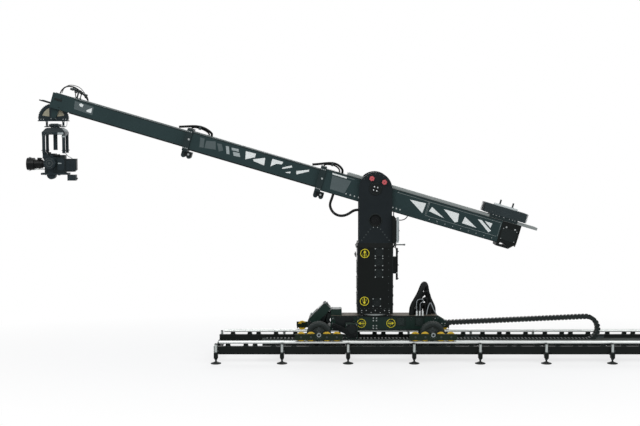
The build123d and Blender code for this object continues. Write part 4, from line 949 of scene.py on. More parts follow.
def dress(finish: str, *names: str) -> None:
    """Give CAD nodes a finish.

    Args:
        finish: The finish's name.
        names: The nodes to dress.
    """
    for name in names:
        data = Stock.shop.nodes[name].data
        data.materials.clear()
        data.materials.append(Stock.shop.material(finish))


@dataclass
class Track:
    """The raised rail track: rails, beams, ties and levelling feet."""

    start: float = -2423
    pitch: float = 1000
    feet: int = 9
    gauge: float = 1000
    beam_top: float = 255
    jack_y: float = 561.5

    def feet_x(self) -> list[float]:
        """Give the stations of the levelling feet."""
        return [LAYOUT.slew_x + self.start + n * self.pitch for n in range(self.feet)]

    def build(self) -> None:
        """Dress the track's nodes and add its small fittings."""
        dress("rail_steel", "track_rails")
        dress("track_paint", "track_beams", "cross_ties")
        dress("jack_metal", "jack_posts")
        dress("track_paint", "jack_housings")
        dress("foot_plastic", "jack_feet")
        dress("tray_metal", "cable_tray")
        self._jack_fittings()
        self._rail_clips()
        self._beam_plates()
        self._tie_fittings()
        self._stringers()

    def _stringers(self) -> None:
        """Hang bolted stringers under the tray and ribs under the beams, from foot to foot."""
        stringers, ribs = Stock(), Stock()
        for x in self.feet_x()[:-1]:
            middle = Vector((x + self.pitch / 2, -self.gauge / 2, 142))
            ribs.block((930, 36, 22), middle, bevel=3)
            ribs.block((930, 50, 5), middle + UP * 10.5, bevel=1)
            for dx in (-400, -200, 0, 200, 400):
                ribs.bolt(middle + Vector((dx, -18, 0)), NEAR, 5, 4)
            if x + self.pitch < LAYOUT.slew_x - 1750:
                continue
            start = max(x + 35, LAYOUT.slew_x - 1745)
            length = x + self.pitch - 35 - start
            spot = Vector((start + length / 2, -62, 186))
            stringers.block((length, 5, 50), spot, bevel=1)
            stringers.block((length, 20, 4), spot + Vector((0, 8, -24)), bevel=1)
            for share in (-0.4, 0, 0.4):
                stringers.bolt(spot + Vector((share * length, -2.5, 12)), NEAR, 5, 4)
        ribs.both_sides().make("beam_ribs", "track", "track_paint", "track_paint")
        stringers.both_sides().make("tray_stringers", "track", "track_paint", "tray_metal")

    def _jack_fittings(self) -> None:
        """Add a clamp collar, a lock nut, a cap and a turned pad ring to each jack."""
        steel, caps = Stock(), Stock()
        for x in self.feet_x():
            foot = Vector((x, -self.jack_y, 0))
            steel.round(26, 12, foot + UP * 171, sides=20)
            steel.round(24, 10, foot + UP * 64, sides=6, bevel=0)
            steel.block((30, 16, 22), foot + Vector((26, 0, 190)), bevel=3)
            steel.bolt(foot + Vector((26, -8, 190)), NEAR, 6, 5)
            steel.round(23.3, 6, foot + UP * 296, sides=20)
            caps.round(18, 8, foot + UP * 304.5, sides=20, bevel=3)
            caps.turned([(77.5, 0), (79.5, 2), (79.5, 8), (76.5, 9), (76.5, 6)], foot + UP * 0.2, steps=28)
        steel.both_sides().make("jack_fittings", "track", "bolt_dark", "jack_metal")
        caps.both_sides().make("jack_caps", "track", "foot_plastic", "foot_plastic")

    def _rail_clips(self) -> None:
        """Add a strap and two bolts over each rail block's foot."""
        clips = Stock()
        for x in self.feet_x()[:-1]:
            for station in (180, 450, 590, 870):
                foot = Vector((x + station, -self.gauge / 2, self.beam_top))
                clips.block((86, 44, 4), foot + UP * 2.1, bevel=1)
                for end in (-37.5, 37.5):
                    clips.bolt(foot + Vector((end, 16.5, 4)), UP, 4.5, 4)
                    clips.bolt(foot + Vector((end, -16.5, 4)), UP, 4.5, 4)
        clips.both_sides().make("rail_clips", "track", "bolt_dark", "jack_metal")

    def _beam_plates(self) -> None:
        """Add bolted splice plates where track sections meet, and end plates on the last ones."""
        plates = Stock()
        for n, x in enumerate(self.feet_x()):
            y = -self.gauge / 2 + 30
            if n % 2 == 0 and 0 < n < self.feet - 1:
                plates.block((240, 5, 70), (x, y + 2.6, 205), bevel=1)
                for dx in (-95, -45, 45, 95):
                    plates.bolt((x + dx, y + 5, 205), FAR, 8, 6)
        for x, side in ((self.feet_x()[0] - 30, -1), (self.feet_x()[-1] + 30, 1)):
            plates.block((4, 62, 102), (x + side * 2.1, -self.gauge / 2, 205), bevel=1)
            for dz in (-35, 35):
                plates.bolt((x + side * 4, -self.gauge / 2, 205 + dz), (side, 0, 0), 6, 5)
        plates.both_sides().make("beam_plates", "track", "bolt_dark", "track_paint")

    def _tie_fittings(self) -> None:
        """Add gusset angles and bolts where each tie meets its beams, and tray clamps."""
        fittings = Stock()
        for x in self.feet_x():
            fittings.block((44, 50, 5), (x, -445, 157.5), bevel=1)
            fittings.bolt((x - 13, -440, 160), UP, 6, 5)
            fittings.bolt((x + 13, -440, 160), UP, 6, 5)
            fittings.block((34, 6, 30), (x, -71.5, 229.5), bevel=1)
            fittings.bolt((x, -74.5, 232), NEAR, 6, 5)
        fittings.both_sides().make("tie_fittings", "track", "bolt_dark", "track_paint")


@dataclass
class EnergyChain:
    """The plastic link chain that carries the cables from the track to the dolly."""

    pitch: float = 56
    width: float = 120
    height: float = 70
    bend_r: float = 188
    bend_x: float = 3287
    bend_z: float = 441
    fixed_x: float = -1700
    bracket_x: float = 1032
    rear_drop: float = 100

    def _link(self, chain: Stock, place: Matrix, pitch: float) -> None:
        """Add one link: two stepped side plates, two cross bars and its pins.

        Args:
            chain: The stock to add to.
            place: The link's frame, X along the chain and Z to the outside.
            pitch: The link's length.
        """
        half, tall = pitch / 2, self.height / 2
        plate = [(-half * 0.98, -tall * 0.50), (-half * 0.62, -tall * 0.96), (half * 0.62, -tall * 0.96),
            (half * 0.98, -tall * 0.50), (half * 0.98, tall * 0.50), (half * 0.62, tall * 0.96),
            (-half * 0.62, tall * 0.96), (-half * 0.98, tall * 0.50)]
        for side in (-1, 1):
            upright = UPRIGHT
            edge = Matrix.Translation((0, side * (self.width / 2 - 5) + 5, 0)) @ upright
            chain.plate(plate, 10, place @ edge, bevel=0)
            step = Matrix.Translation((half * 0.55, side * (self.width / 2 + 0.4), 0))
            chain.round(tall * 0.34, 2.5, (0, 0, 0), FAR, place @ step, 8, 0)
        for level in (-1, 1):
            chain.block((pitch * 0.44, self.width - 18, 6), (0, 0, level * (tall - 4)), place, 0)

    def build(self) -> None:
        """Make the three stretches of chain in place of their plain solids."""
        self._lower()
        self._loop()
        self._upper()

    def _lower(self) -> None:
        """Lay the lower run in its tray at one length, from the fixed end to the loop; on the real crane it
        lengthens behind the loop as the dolly travels.
        """
        start = LAYOUT.slew_x + self.fixed_x
        z = self.bend_z - self.bend_r
        length = self.bend_x - self.fixed_x
        count = round(length / self.pitch)
        pitch = length / count
        run = Stock()
        for n in range(count):
            self._link(run, Matrix.Translation((start + (n + 0.5) * pitch, 0, z)), pitch)
        piece = run.make("chain_links_lower", "track", "chain_plastic", "chain_plastic", ["chain_lower_run"])
        piece.parent = None
        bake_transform(piece)

    def _loop(self) -> None:
        """Turn the links of the loop round the bend."""
        count = round(math.pi * self.bend_r / self.pitch)
        loop = Stock()
        for n in range(count):
            angle = -math.pi / 2 + (n + 0.5) * math.pi / count
            spot = on_ring(angle) * self.bend_r
            centre = Vector((LAYOUT.slew_x + self.bend_x, 0, self.bend_z)) + spot
            turn = Matrix.Rotation(-(angle + math.pi / 2), 4, "Y")
            self._link(loop, Matrix.Translation(centre) @ turn, math.pi * self.bend_r / count)
        loop.make("chain_links_loop", "loop", "chain_plastic", "chain_plastic", ["chain_loop"])

    def _upper(self) -> None:
        """Run the links back over the track to the bracket on the chassis."""
        dx = self.bend_x - self.bracket_x
        length = math.hypot(dx, self.rear_drop)
        slope = math.asin(self.rear_drop / length)
        count = round(length / self.pitch)
        origin = Vector((LAYOUT.slew_x + self.bracket_x, 0, self.bend_z + self.bend_r - self.rear_drop))
        along = on_ring(slope)
        run = Stock()
        for n in range(count):
            centre = origin + along * ((n + 0.5) * length / count)
            place = Matrix.Translation(centre) @ Matrix.Rotation(-slope, 4, "Y")
            self._link(run, place, length / count)
        piece = run.make("chain_links_upper", "dolly", "chain_plastic", "chain_plastic", ["chain_upper_run"])
        piece.parent = None
        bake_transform(piece)


TRACK_WHEEL_LINES = (-270, -120, 120, 270)


@dataclass
class Dolly:
    """The wheeled chassis with its bogies, boxes and console."""

    half_width: float = 150
    top: float = 662
    bottom: float = 430
    front: float = -682
    rear: float = 972
    axle: float = 865
    axle_z: float = 435
    bogie_y: float = 565

    def build(self) -> None:
        """Dress the dolly's nodes and add its fittings."""
        dress("dolly_paint", "chassis", "dolly_boxes", "chain_bracket")
        dress("axle_steel", "axle_beams")
        dress("bogie_paint", "bogie_frames")
        dress("ring_steel", "slew_ring")
        self._deck()
        self._side_details()
        self._console()
        self._bogies()
        self._bolts()
        self._chain_clamp()

    def _deck(self) -> None:
        """Lay the worn deck plates and the junction box fittings."""
        deck = AxisStock()
        for x0, x1 in ((self.front + 4, -160), (160, self.rear - 4)):
            size = (x1 - x0, 2 * self.half_width - 12, 2.5)
            deck.block(size, ((x0 + x1) / 2, 0, self.top + 1.4), bevel=1)
        deck.make("deck_plates", "dolly", "deck_paint", "dolly_paint")
        box = AxisStock()
        centre = Vector((self.front + 85, 0, self.top + 90))
        box.block((150, 200, 6), centre + UP * 3)
        for dx in (-62, 62):
            for dy in (-86, 86):
                box.bolt(centre + Vector((dx, dy, 6)), UP, 6, 4)
        for dy in (-70, -25, 25, 70):
            box.round(13, 22, centre + Vector((-96, dy, -45)), FRONT, sides=16)
            box.round(16, 6, centre + Vector((-89, dy, -45)), FRONT, sides=6, bevel=0)
        box.make("junction_box_fittings", "dolly", "bolt_dark", "dolly_paint")

    def _side_details(self) -> None:
        """Add framed panels, louvres, a jack socket row and tie rings to both sides."""
        trim, dark = AxisStock(), AxisStock()
        y = -self.half_width
        for x in (400, 690):
            centre = Vector((x, y, 575))
            for dz in (-66.5, 66.5):
                trim.block((150, 6, 8), centre + Vector((0, -2, dz)), bevel=1)
            for dx in (-69, 69):
                trim.block((8, 6, 125), centre + Vector((dx, -2, 0)), bevel=1)
            for n in range(7):
                dark.block((110, 4, 6), centre + Vector((0, 3.5, -48 + n * 16)), bevel=1)
            for dx in (-69, 69):
                for dz in (-66.5, 66.5):
                    trim.bolt(centre + Vector((dx, -5, dz)), NEAR, 5, 3)
        trim.block((280, 5, 170), (-470, y - 2.6, 560), bevel=3)
        for dx in (-125, 125):
            for dz in (-70, 70):
                trim.bolt((-470 + dx, y - 5, 560 + dz), NEAR, 6, 4)
        trim.block((1600, 10, 16), (145, y - 5, self.bottom + 12))
        trim.block((1600, 8, 12), (145, y - 4, self.top - 10))
        for x in (-640, -260, 260, 560, 900):
            dark.turned([(19, 0), (22, 3), (19, 6), (16, 3)], (x, y - 10, self.top - 48), FAR, steps=20)
            dark.block((14, 10, 14), (x, y - 5, self.top - 27))
        trim.both_sides().make("chassis_trim", "dolly", "cover_paint", "dolly_paint")
        dark.both_sides().make("chassis_louvres", "dolly", "bolt_dark", "dolly_paint")

    def _console(self) -> None:
        """Add a screen, keys, a rotary knob and connectors to the tilted console."""
        turn = math.radians(45)
        c, s = math.cos(turn), math.sin(turn)
        # X runs up the console's face, Y to the far side, Z out of the face
        face = Matrix(((c, 0, -s), (0, 1, 0), (s, 0, c))).to_4x4()
        place = Matrix.Translation((-850, 0, 684)) @ face @ Matrix.Translation((0, 0, 65))
        panel, keys, screen = AxisStock(), AxisStock(), AxisStock()
        panel.block((330, 236, 4), (0, 0, 2), place, 2)
        screen.block((120, 160, 4), (80, 15, 5.5), place, 1)
        for row in range(3):
            for column in range(5):
                spot = (-30 - row * 30, -80 + column * 34, 6.5)
                keys.block((18, 22, 5), spot, place, 2)
        keys.round(20, 18, (-115, 86, 12), UP, place, 20)
        keys.round(12, 12, (80, -95, 9), UP, place, 16)
        for x, y in ((-155, -108), (-155, 108), (155, -108), (155, 108)):
            panel.bolt((x, y, 4), UP, 5, 3, place)
        for dy in (-75, -25, 25, 75):
            panel.round(14, 20, (-190, dy, -65), FRONT, place, 16)
            panel.round(18, 5, (-183, dy, -65), FRONT, place, 16)
        panel.block((10, 20, 40), (185, -60, -50), place, 3)
        panel.block((10, 20, 40), (185, 60, -50), place, 3)
        panel.block((12, 140, 12), (196, 0, -35), place, 4)
        gusset = AxisStock()
        for y in (-96, 96):
            for (x0, z0), (x1, z1), width in (((-905, 545), (-740, 520), 90), ((-760, 530), (-700, 690), 75),
                ((-800, 560), (-770, 690), 80)):
                lean = math.atan2(z1 - z0, x1 - x0)
                middle = Vector(((x0 + x1) / 2, y, (z0 + z1) / 2))
                turn = Matrix.Translation(middle) @ Matrix.Rotation(-lean, 4, "Y")
                gusset.block((math.dist((x0, z0), (x1, z1)), 8, width), place=turn)
            for x, z in ((-720, 560), (-715, 640), (-775, 655), (-880, 550)):
                gusset.bolt((x, y - 4, z), NEAR, 7, 5)
        gusset.make("console_gussets", "dolly", "cover_paint", "dolly_paint")
        panel.make("console_panel", "dolly", "cover_paint", "dolly_paint")
        keys.make("console_keys", "dolly", "mark_grey", "dolly_paint")
        screen.make("console_screen", "dolly", "lens_glass", "lens_black")

    def _bogies(self) -> None:
        """Add a light ring, small bolts and end brushes to the bogie plates."""
        rings, bolts, brushes, plates, cores = AxisStock(), AxisStock(), AxisStock(), AxisStock(), AxisStock()
        for end in (-1, 1):
            x = end * self.axle
            plates.block((690, 6, 60), (x, -469, 402))
            plates.block((560, 10, 24), (x, -469, 440), bevel=3)
            for dx in TRACK_WHEEL_LINES:
                plates.bolt((x + dx, -466, 403.5), FAR, 12, 8)
            hub = Vector((x, -self.bogie_y, self.axle_z))
            rings.turned([(18.5, 0), (18.5, 6), (30, 6), (33, 3), (33, 0)], hub, NEAR, steps=36)
            cores.round(17.5, 6, hub + NEAR * 3, NEAR)
            for degrees in (40, 75, 105, 140, 220, 250, 290, 320):
                angle = math.radians(degrees)
                spot = on_ring(angle, 56)
                if hub.z + spot.z < 447:
                    bolts.bolt(hub + spot, NEAR, 5, 4)
            for dx in TRACK_WHEEL_LINES:
                bolts.bolt((x + dx, -self.bogie_y, 403.5), NEAR, 12, 8)
            for dx in (-346, 346):
                brushes.block((26, 60, 30), (x + dx, -520, 400), bevel=4)
                brushes.block((16, 40, 34), (x + dx, -500, 369), bevel=3)
        plates.both_sides().make("bogie_inner_plates", "dolly", "bogie_paint", "dolly_paint")
        cores.both_sides().make("bogie_hub_cores", "dolly", "trim_dark", "axle_steel")
        rings.both_sides().make("bogie_rings", "dolly", "mark_grey", "axle_steel")
        bolts.both_sides().make("bogie_bolts", "dolly", "bolt_dark", "axle_steel")
        brushes.both_sides().make("bogie_brushes", "dolly", "foot_plastic", "foot_plastic")

    def _bolts(self) -> None:
        """Bolt the middle flange, the chassis ends and the slew ring."""
        bolts = AxisStock()
        for dz in (36, 76, 156, 196):
            for dx in (-24, 24):
                bolts.bolt((dx, -self.half_width, self.bottom + dz), NEAR, 8, 6)
        for dz in (30, 110, 190):
            bolts.bolt((self.rear, -110, self.bottom + dz), REAR, 9, 7)
            bolts.bolt((self.rear - 40, -self.half_width, self.bottom + dz), NEAR, 7, 5)
            bolts.bolt((self.front + 30, -self.half_width, self.bottom + dz), NEAR, 7, 5)
        for n in range(8):
            angle = (n + 0.5) * math.pi / 8
            spot = Vector((math.cos(angle), -math.sin(angle), 0)) * 238
            if abs(spot.y) < self.half_width - 10:
                bolts.bolt(Vector((0, 0, self.top + 3)) + spot, UP, 9, 7)
        for dx in (-75, 75):
            for dz in (-100, 100):
                bolts.bolt((-362 + dx, -270, 440 + dz), NEAR, 6, 5)
        bolts.both_sides().make("chassis_bolts", "dolly", "bolt_steel", "axle_steel")
        drive, brace = AxisStock(), AxisStock()
        lean = Matrix.Translation((-474, -274.5, 451)) @ Matrix.Rotation(math.radians(24), 4, "Y")
        brace.block((418, 7, 83), (0, 0, 0), lean, bevel=3)
        brace.block((164, 3, 214), (-362, -270.5, 440), bevel=1)
        brace.round(14, 66, lean @ Vector((-180, 30, 0)), FAR, sides=16)
        for dx in (-180, -120, 180):
            brace.bolt(lean @ Vector((dx, -3.5, 0)), NEAR, 9, 6)
        brace.make("drive_brace", "dolly", "trim_dark", "dolly_paint")
        drive.round(62, 12, (-362, -276, 470), NEAR, sides=32, bevel=3)
        for n in range(5):
            drive.block((130, 6, 5), (-362, -273, 350 + n * 12), bevel=1)
        drive.round(18, 30, (-330, -210, 572), UP, sides=16)
        drive.make("drive_cover", "dolly", "cover_paint", "dolly_paint")

    def _chain_clamp(self) -> None:
        """Clamp the chain's end between its bracket plates, with a strain comb for the cables."""
        clamp = AxisStock()
        spot = Vector((1032, 0, 529))
        for dz in (-38.5, 38.5):
            clamp.block((30, 142, 6), spot + Vector((50, 0, dz)), bevel=1)
        for side in (-1, 1):
            for dx in (12, 58):
                clamp.bolt(spot + Vector((dx, side * 72, 0)), (0, side, 0), 7, 5)
        clamp.block((12, 118, 60), spot + FRONT * 52)
        clamp.make("chain_clamp", "dolly", "bolt_steel", "axle_steel")


@dataclass
class RoadWheel:
    """One rubber-tyred road wheel with a dished rim."""

    name: str
    end: int
    side: Side
    radius: float = 186
    bead: float = 124
    half_width: float = 50

    def build(self) -> None:
        """Make the tyre and the rim in place of the plain wheel."""
        out = Vector((0, self.side.value, 0))
        centre = Vector((LAYOUT.slew_x + self.end * 865, self.side.value * 410, 435))
        body, node = f"wheel_{self.name}", f"road_wheel_{self.name}"
        tyre = Stock()
        tyre.turned(self._tyre_profile(), centre, out, steps=56)
        for n in range(28):
            turn = Matrix.Rotation(n * math.tau / 28, 4, "Y")
            for lane, shift in ((-34, 0), (34, math.pi / 28)):
                place = Matrix.Translation(centre) @ turn @ Matrix.Rotation(shift, 4, "Y")
                tyre.block((24.5, 20, 8), (0, lane, self.radius - 4.2), place, 2)
        tyre.make(f"tyre_{self.name}", body, "road_tyre", "road_tyre", [node])
        rim, bolts = Stock(), Stock()
        rim.turned(self._rim_profile(), centre, out, steps=48)
        for n in range(6):
            angle = n * math.tau / 6
            spot = on_ring(angle)
            bolts.bolt(centre + spot * 52 + out * 30, out, 8, 8)
            between = on_ring(angle + math.pi / 6)
            bolts.round(14, 4, centre + between * 86 + out * 13.5, out, sides=16, bevel=1)
        rim.make(f"rim_{self.name}", body, "rim_paint", "road_tyre")
        bolts.make(f"rim_bolts_{self.name}", body, "bolt_dark", "axle_steel")

    def _tyre_profile(self) -> list[tuple[float, float]]:
        """Give the tyre's section: bulged walls, square shoulders and a centre rib."""
        r, w, b = self.radius, self.half_width, self.bead
        half = [(b, w - 12), (b + 8, w - 4), (b + 20, w - 1.2), (b + 21, w - 2.8), (b + 26, w - 2.8),
            (b + 27, w - 0.4), (r - 24, w - 0.2), (r - 14, w - 3), (r - 8, w - 9), (r - 7, 22), (r - 9, 18),
            (r - 0.6, 16), (r, 8), (r - 8, 5)]
        return half + [(x, -y) for x, y in reversed(half)]

    @staticmethod
    def _rim_profile() -> list[tuple[float, float]]:
        """Give the rim's section from its flange to the hub cap."""
        return [(0, 49), (20, 49), (26, 46), (30, 36), (40, 31), (64, 30), (70, 22), (74, 12), (100, 12),
            (108, 20), (114, 36), (124, 40), (127, 38), (127, -38), (120, -40), (110, -30), (104, -12),
            (62, -10), (44, -46), (26.2, -49), (26.2, 30), (0, 30)]


@dataclass
class TrackWheel:
    """One axle line of grooved track wheels, near and far."""

    number: int
    line: float
    z: float = 403.12
    radius: float = 70

    def build(self) -> None:
        """Make the grooved tyres and steel hubs in place of the plain wheels."""
        tyres, hubs = Stock(), Stock()
        for side in (-1, 1):
            centre = Vector((LAYOUT.slew_x + self.line, side * 500, self.z))
            out = Vector((0, side, 0))
            tyres.turned([(34, -22), (66.5, -22), (70, -19.5), (70, -17.5), (61.2, 0), (70, 17.5), (70, 19.5),
                    (66.5, 22), (34, 22), (34, 16), (34, -16)], centre, out, steps=40)
            hubs.turned([(14.2, -22), (30, -22), (34, -18), (34, 18), (30, 22), (14.2, 22)], centre, out,
                steps=28)
            for n in range(5):
                spot = on_ring(n * math.tau / 5, 48)
                hubs.round(5, 1.8, centre + spot + out * 22.5, out, sides=8, bevel=0)
        node = f"track_wheels_{self.number}"
        body = f"roller_{self.number}"
        tyres.make(f"track_tyres_{self.number}", body, "track_wheel", "track_wheel", [node])
        hubs.make(f"track_hubs_{self.number}", body, "bolt_steel", "axle_steel")


@dataclass
class Column:
    """The slewing column with its cheeks, covers, cabinet and cables."""

    half_length: float = 275
    half_width: float = 215
    foot: float = 700.3
    cheek_r: float = 254

    def build(self) -> None:
        """Dress the column's nodes and add its fittings."""
        dress("column_paint", "column_housing", "control_cabinet", "cable_bar")
        dress("cheek_paint", "cheek_near", "cheek_far")
        dress("cover_paint", "service_covers")
        dress("ring_steel", "turntable_ring", "slew_lever")
        dress("knob_red", "brake_knob_front", "brake_knob_rear")
        self._bolts()
        self._covers()
        self._frames()
        self._knob_caps()
        self._cabinet()
        self._rear_connectors()
        self._lever()

    def _bolts(self) -> None:
        """Bolt the column's foot flange, lip and cheeks."""
        bolts, dark = AxisStock(), AxisStock()
        y = -self.half_width
        for n in range(8):
            dark.bolt((-224 + n * 63, y, 785), NEAR, 5, 4)
        for dx in (-208, -136, 3, 144, 215):
            bolts.bolt((dx, y, 755), NEAR, 6, 5)
        for dx in (-207, -62, 77, 216):
            bolts.bolt((dx, y, 724), NEAR, 5, 4)
        for n in range(9):
            dark.bolt((205, y, 860 + n * 105), NEAR, 5, 4)
        for n in range(7):
            angle = math.radians(40 + n * 100 / 6)
            spot = on_ring(angle, 226)
            dark.bolt(Vector((0, y, LAYOUT.pivot_z)) + spot, NEAR, 6, 4)
        for side in (-1, 1):
            bolts.bolt((side * 31, y, 2040), NEAR, 5.5, 5)
            for n in range(5):
                dark.bolt((side * (78 + n * 33), y, 2011 - n * 43), NEAR, 8, 5)
        bolts.both_sides().make("column_bolts_bright", "turntable", "bolt_steel", "ring_steel")
        dark.both_sides().make("column_bolts", "turntable", "bolt_dark", "column_paint")

    def _covers(self) -> None:
        """Add bolts, a raised rim and a hex plug to each service cover."""
        rims, bolts = AxisStock(), AxisStock()
        for dx, z in ((56, 1655), (56, 1506), (56, 1329), (24, 880)):
            centre = Vector((dx, -self.half_width, z))
            rims.turned([(43, 0), (45, 4), (54, 4), (56, 0)], centre + NEAR * 22, NEAR, steps=28)
            rims.bolt(centre + NEAR * 22, NEAR, 13, 7)
            for sx in (-56, 56):
                for sz in (-56, 56):
                    bolts.bolt(centre + Vector((sx, -8, sz)), NEAR, 6.5, 5)
        rims.both_sides().make("cover_rims", "turntable", "cover_paint", "column_paint")
        bolts.both_sides().make("cover_bolts", "turntable", "bolt_steel", "ring_steel")

    def _frames(self) -> None:
        """Add edge strips, a hatch and a handle on the column, and bosses round the cheek holes."""
        frames = AxisStock()
        y = -self.half_width
        middle = (self.foot + 1728) / 2
        for dx in (-268, 268):
            frames.block((12, 5, 990), (dx, y - 1.5, middle))
        frames.turned([(92, -2), (92, 3), (104, 3), (106, 0), (106, -2)], (0, y - 0.5, LAYOUT.pivot_z - 486),
            NEAR, steps=40)
        frames.both_sides().make("column_frames", "turntable", "cover_paint", "column_paint")
        window = AxisStock()
        centre = Vector((0, -176, LAYOUT.pivot_z - 486))
        window.turned([(0, -3), (0, 3), (72, 3), (84, 20), (91.2, 20), (91.2, -3)], centre, NEAR, steps=40)
        for n in range(5):
            window.block((110, 4, 5), centre + Vector((0, -4, -28 + n * 14)), bevel=1)
        window.both_sides().make("column_windows", "turntable", "lens_black", "column_paint")
        ends = AxisStock()
        for z in (900, 1150, 1400):
            ends.block((6, 300, 200), (-self.half_length - 3.2, 0, z), bevel=3)
            for dy in (-130, 130):
                for dz in (-85, 85):
                    ends.bolt((-self.half_length - 6, dy, z + dz), FRONT, 6, 4)
        ends.block((14, 14, 60), (-self.half_length - 22, 120, 1600), bevel=4)
        ends.block((14, 14, 60), (-self.half_length - 22, -120, 1600), bevel=4)
        ends.block((16, 260, 16), (-self.half_length - 32, 0, 1600), bevel=5)
        ends.make("column_front_hatches", "turntable", "cover_paint", "column_paint")

    def _knob_caps(self) -> None:
        """Add a dark washer and a centre cap to each brake knob."""
        for name, side in (("front", 1), ("rear", -1)):
            spot = LAYOUT.arm(side * 168 * math.sin(KNOB_ANGLE), 168 * math.cos(KNOB_ANGLE), -self.half_width)
            caps = Stock()
            caps.round(6, 4, spot + NEAR * 48, NEAR, sides=20)
            caps.round(30, 4, spot + NEAR * 6.2, NEAR)
            caps.make(f"knob_cap_{name}", f"knob_{name}", "bolt_dark", "ring_steel")

    def _cabinet(self) -> None:
        """Add a door seam, hinges, a latch, a small screen and glands to the cabinet."""
        fittings = AxisStock()
        x = self.cheek_r
        for z in (1880, 2080):
            fittings.round(6, 40, (x + 97, -281, z), UP, sides=12)
        fittings.block((4, 90, 300), (x + 102, -227.5, 1986), bevel=1.5)
        fittings.round(12, 10, (x + 108, -196, 1986), REAR, sides=20)
        fittings.block((6, 30, 8), (x + 113, -196, 1986))
        for n in range(6):
            fittings.block((4, 60, 4), (x + 104.5, -235, 1860 + n * 10), bevel=1)
        for y in (-262, -236, -210):
            fittings.round(9, 22, (x + 45, y, 1787), UP, sides=12)
        fittings.make("cabinet_fittings", "turntable", "bolt_dark", "column_paint")
        door = AxisStock()
        door.block((34, 3, 392), (x + 81, -291.2, 2006), bevel=1)
        door.block((20, 5, 360), (x + 81, -292.2, 2006))
        for z in (1840, 2006, 2172):
            door.bolt((x + 81, -294.5, z), NEAR, 5, 3)
        door.make("cabinet_door_edge", "turntable", "mark_grey", "axle_steel")

    def _rear_connectors(self) -> None:
        """Add round connectors and clips on the cable bar and the column's rear face."""
        plugs, light = AxisStock(), AxisStock()
        x = self.half_length
        for n, z in enumerate((1260, 1330, 1400, 1540, 1610, 1680)):
            stock = light if n % 3 == 1 else plugs
            stock.round(11, 20, (x + 62, -150, z), NEAR, sides=18)
            stock.round(14.5, 6, (x + 62, -144, z), NEAR, sides=18)
        for z in (820, 960, 1100):
            plugs.block((8, 180, 80), (x + 4, 40, z), bevel=3)
            for dy in (-60, 0, 60):
                plugs.round(17, 10, (x + 12, 40 + dy, z), REAR, sides=18)
        for z in (1240, 1450, 1660):
            plugs.block((12, 60, 14), (x + 82, -120, z))
        plugs.make("rear_connectors", "turntable", "bolt_dark", "column_paint")
        light.make("rear_connectors_light", "turntable", "bolt_steel", "ring_steel")

    def _lever(self) -> None:
        """Add a pin with a nut above the lever's hub and its bracket under it."""
        spot = Vector((self.half_length + 46.3, 100, 1740))
        pin = AxisStock()
        pin.round(8, 52, spot, UP, sides=16)
        pin.bolt(spot + UP * 17.5, UP, 12, 8)
        pin.block((50, 50, 6), spot + Vector((-6, 0, -20.5)))
        pin.make("lever_pin", "turntable", "bolt_steel", "ring_steel")


# Flat shapes on the sides of the tubes: corners in arm distance and height, by finish
OUTER_MARKS: Marks = {"mark_white": (((-555, -13), (-811, 1), (-798, -161)),
        ((-915, -25), (-1141, -139), (-887, -101)), ((-1095, -6), (-1342, -6), (-1359, -136), (-1314, -155)),
        ((-1444, -27), (-1665, -142), (-1426, -134)), ((-1641, -8), (-1701, -2), (-1890, -121),
            (-1855, -154)), ((-1752, -4), (-1877, -6), (-1867, -83)),
        ((700, 47), (466, 44), (465, 21), (691, 22))),
    "mark_dim": (((690, 6), (385, 6), (434, -208), (668, -203)),)}
MID_MARKS: Marks = {"mark_dim": (((2790, -5), (2720, -4), (2700, -145), (2763, -152)),
        ((2690, -30), (2547, 1), (2512, -119), (2684, -145)),
        ((2519, -20), (2447, -12), (2398, -99), (2459, -136))),
    "mark_grey": (((2380, -20), (2330, -16), (2290, -128), (2335, -136)),
        ((2290, -20), (2180, -12), (2160, -52), (2270, -58)),
        ((2250, -75), (2150, -68), (2120, -122), (2225, -132))),
    "mark_white": (((2064, -11), (1904, -5), (1903, -62), (2037, -133)),
        ((1925, -100), (1751, -25), (1734, -142), (1901, -126)),
        ((1642, -9), (1472, -8), (1476, -50), (1560, -66), (1639, -130)),
        ((1455, -92), (1329, -23), (1313, -50), (1456, -117)),
        ((1397, -152), (1318, -117), (1318, -145), (1371, -157)),
        ((1237, -85), (1056, -11), (1048, -38), (1223, -135)))}
INNER_MARKS: Marks = {"mark_dim": (((4783, -12), (4480, -22), (4468, -149), (4762, -136)),),
    "mark_white": (((4707, -38), (4675, -22), (4640, -34), (4645, -73), (4688, -71)),
        ((4500, -45), (4576, -102), (4564, -123), (4494, -121)))}


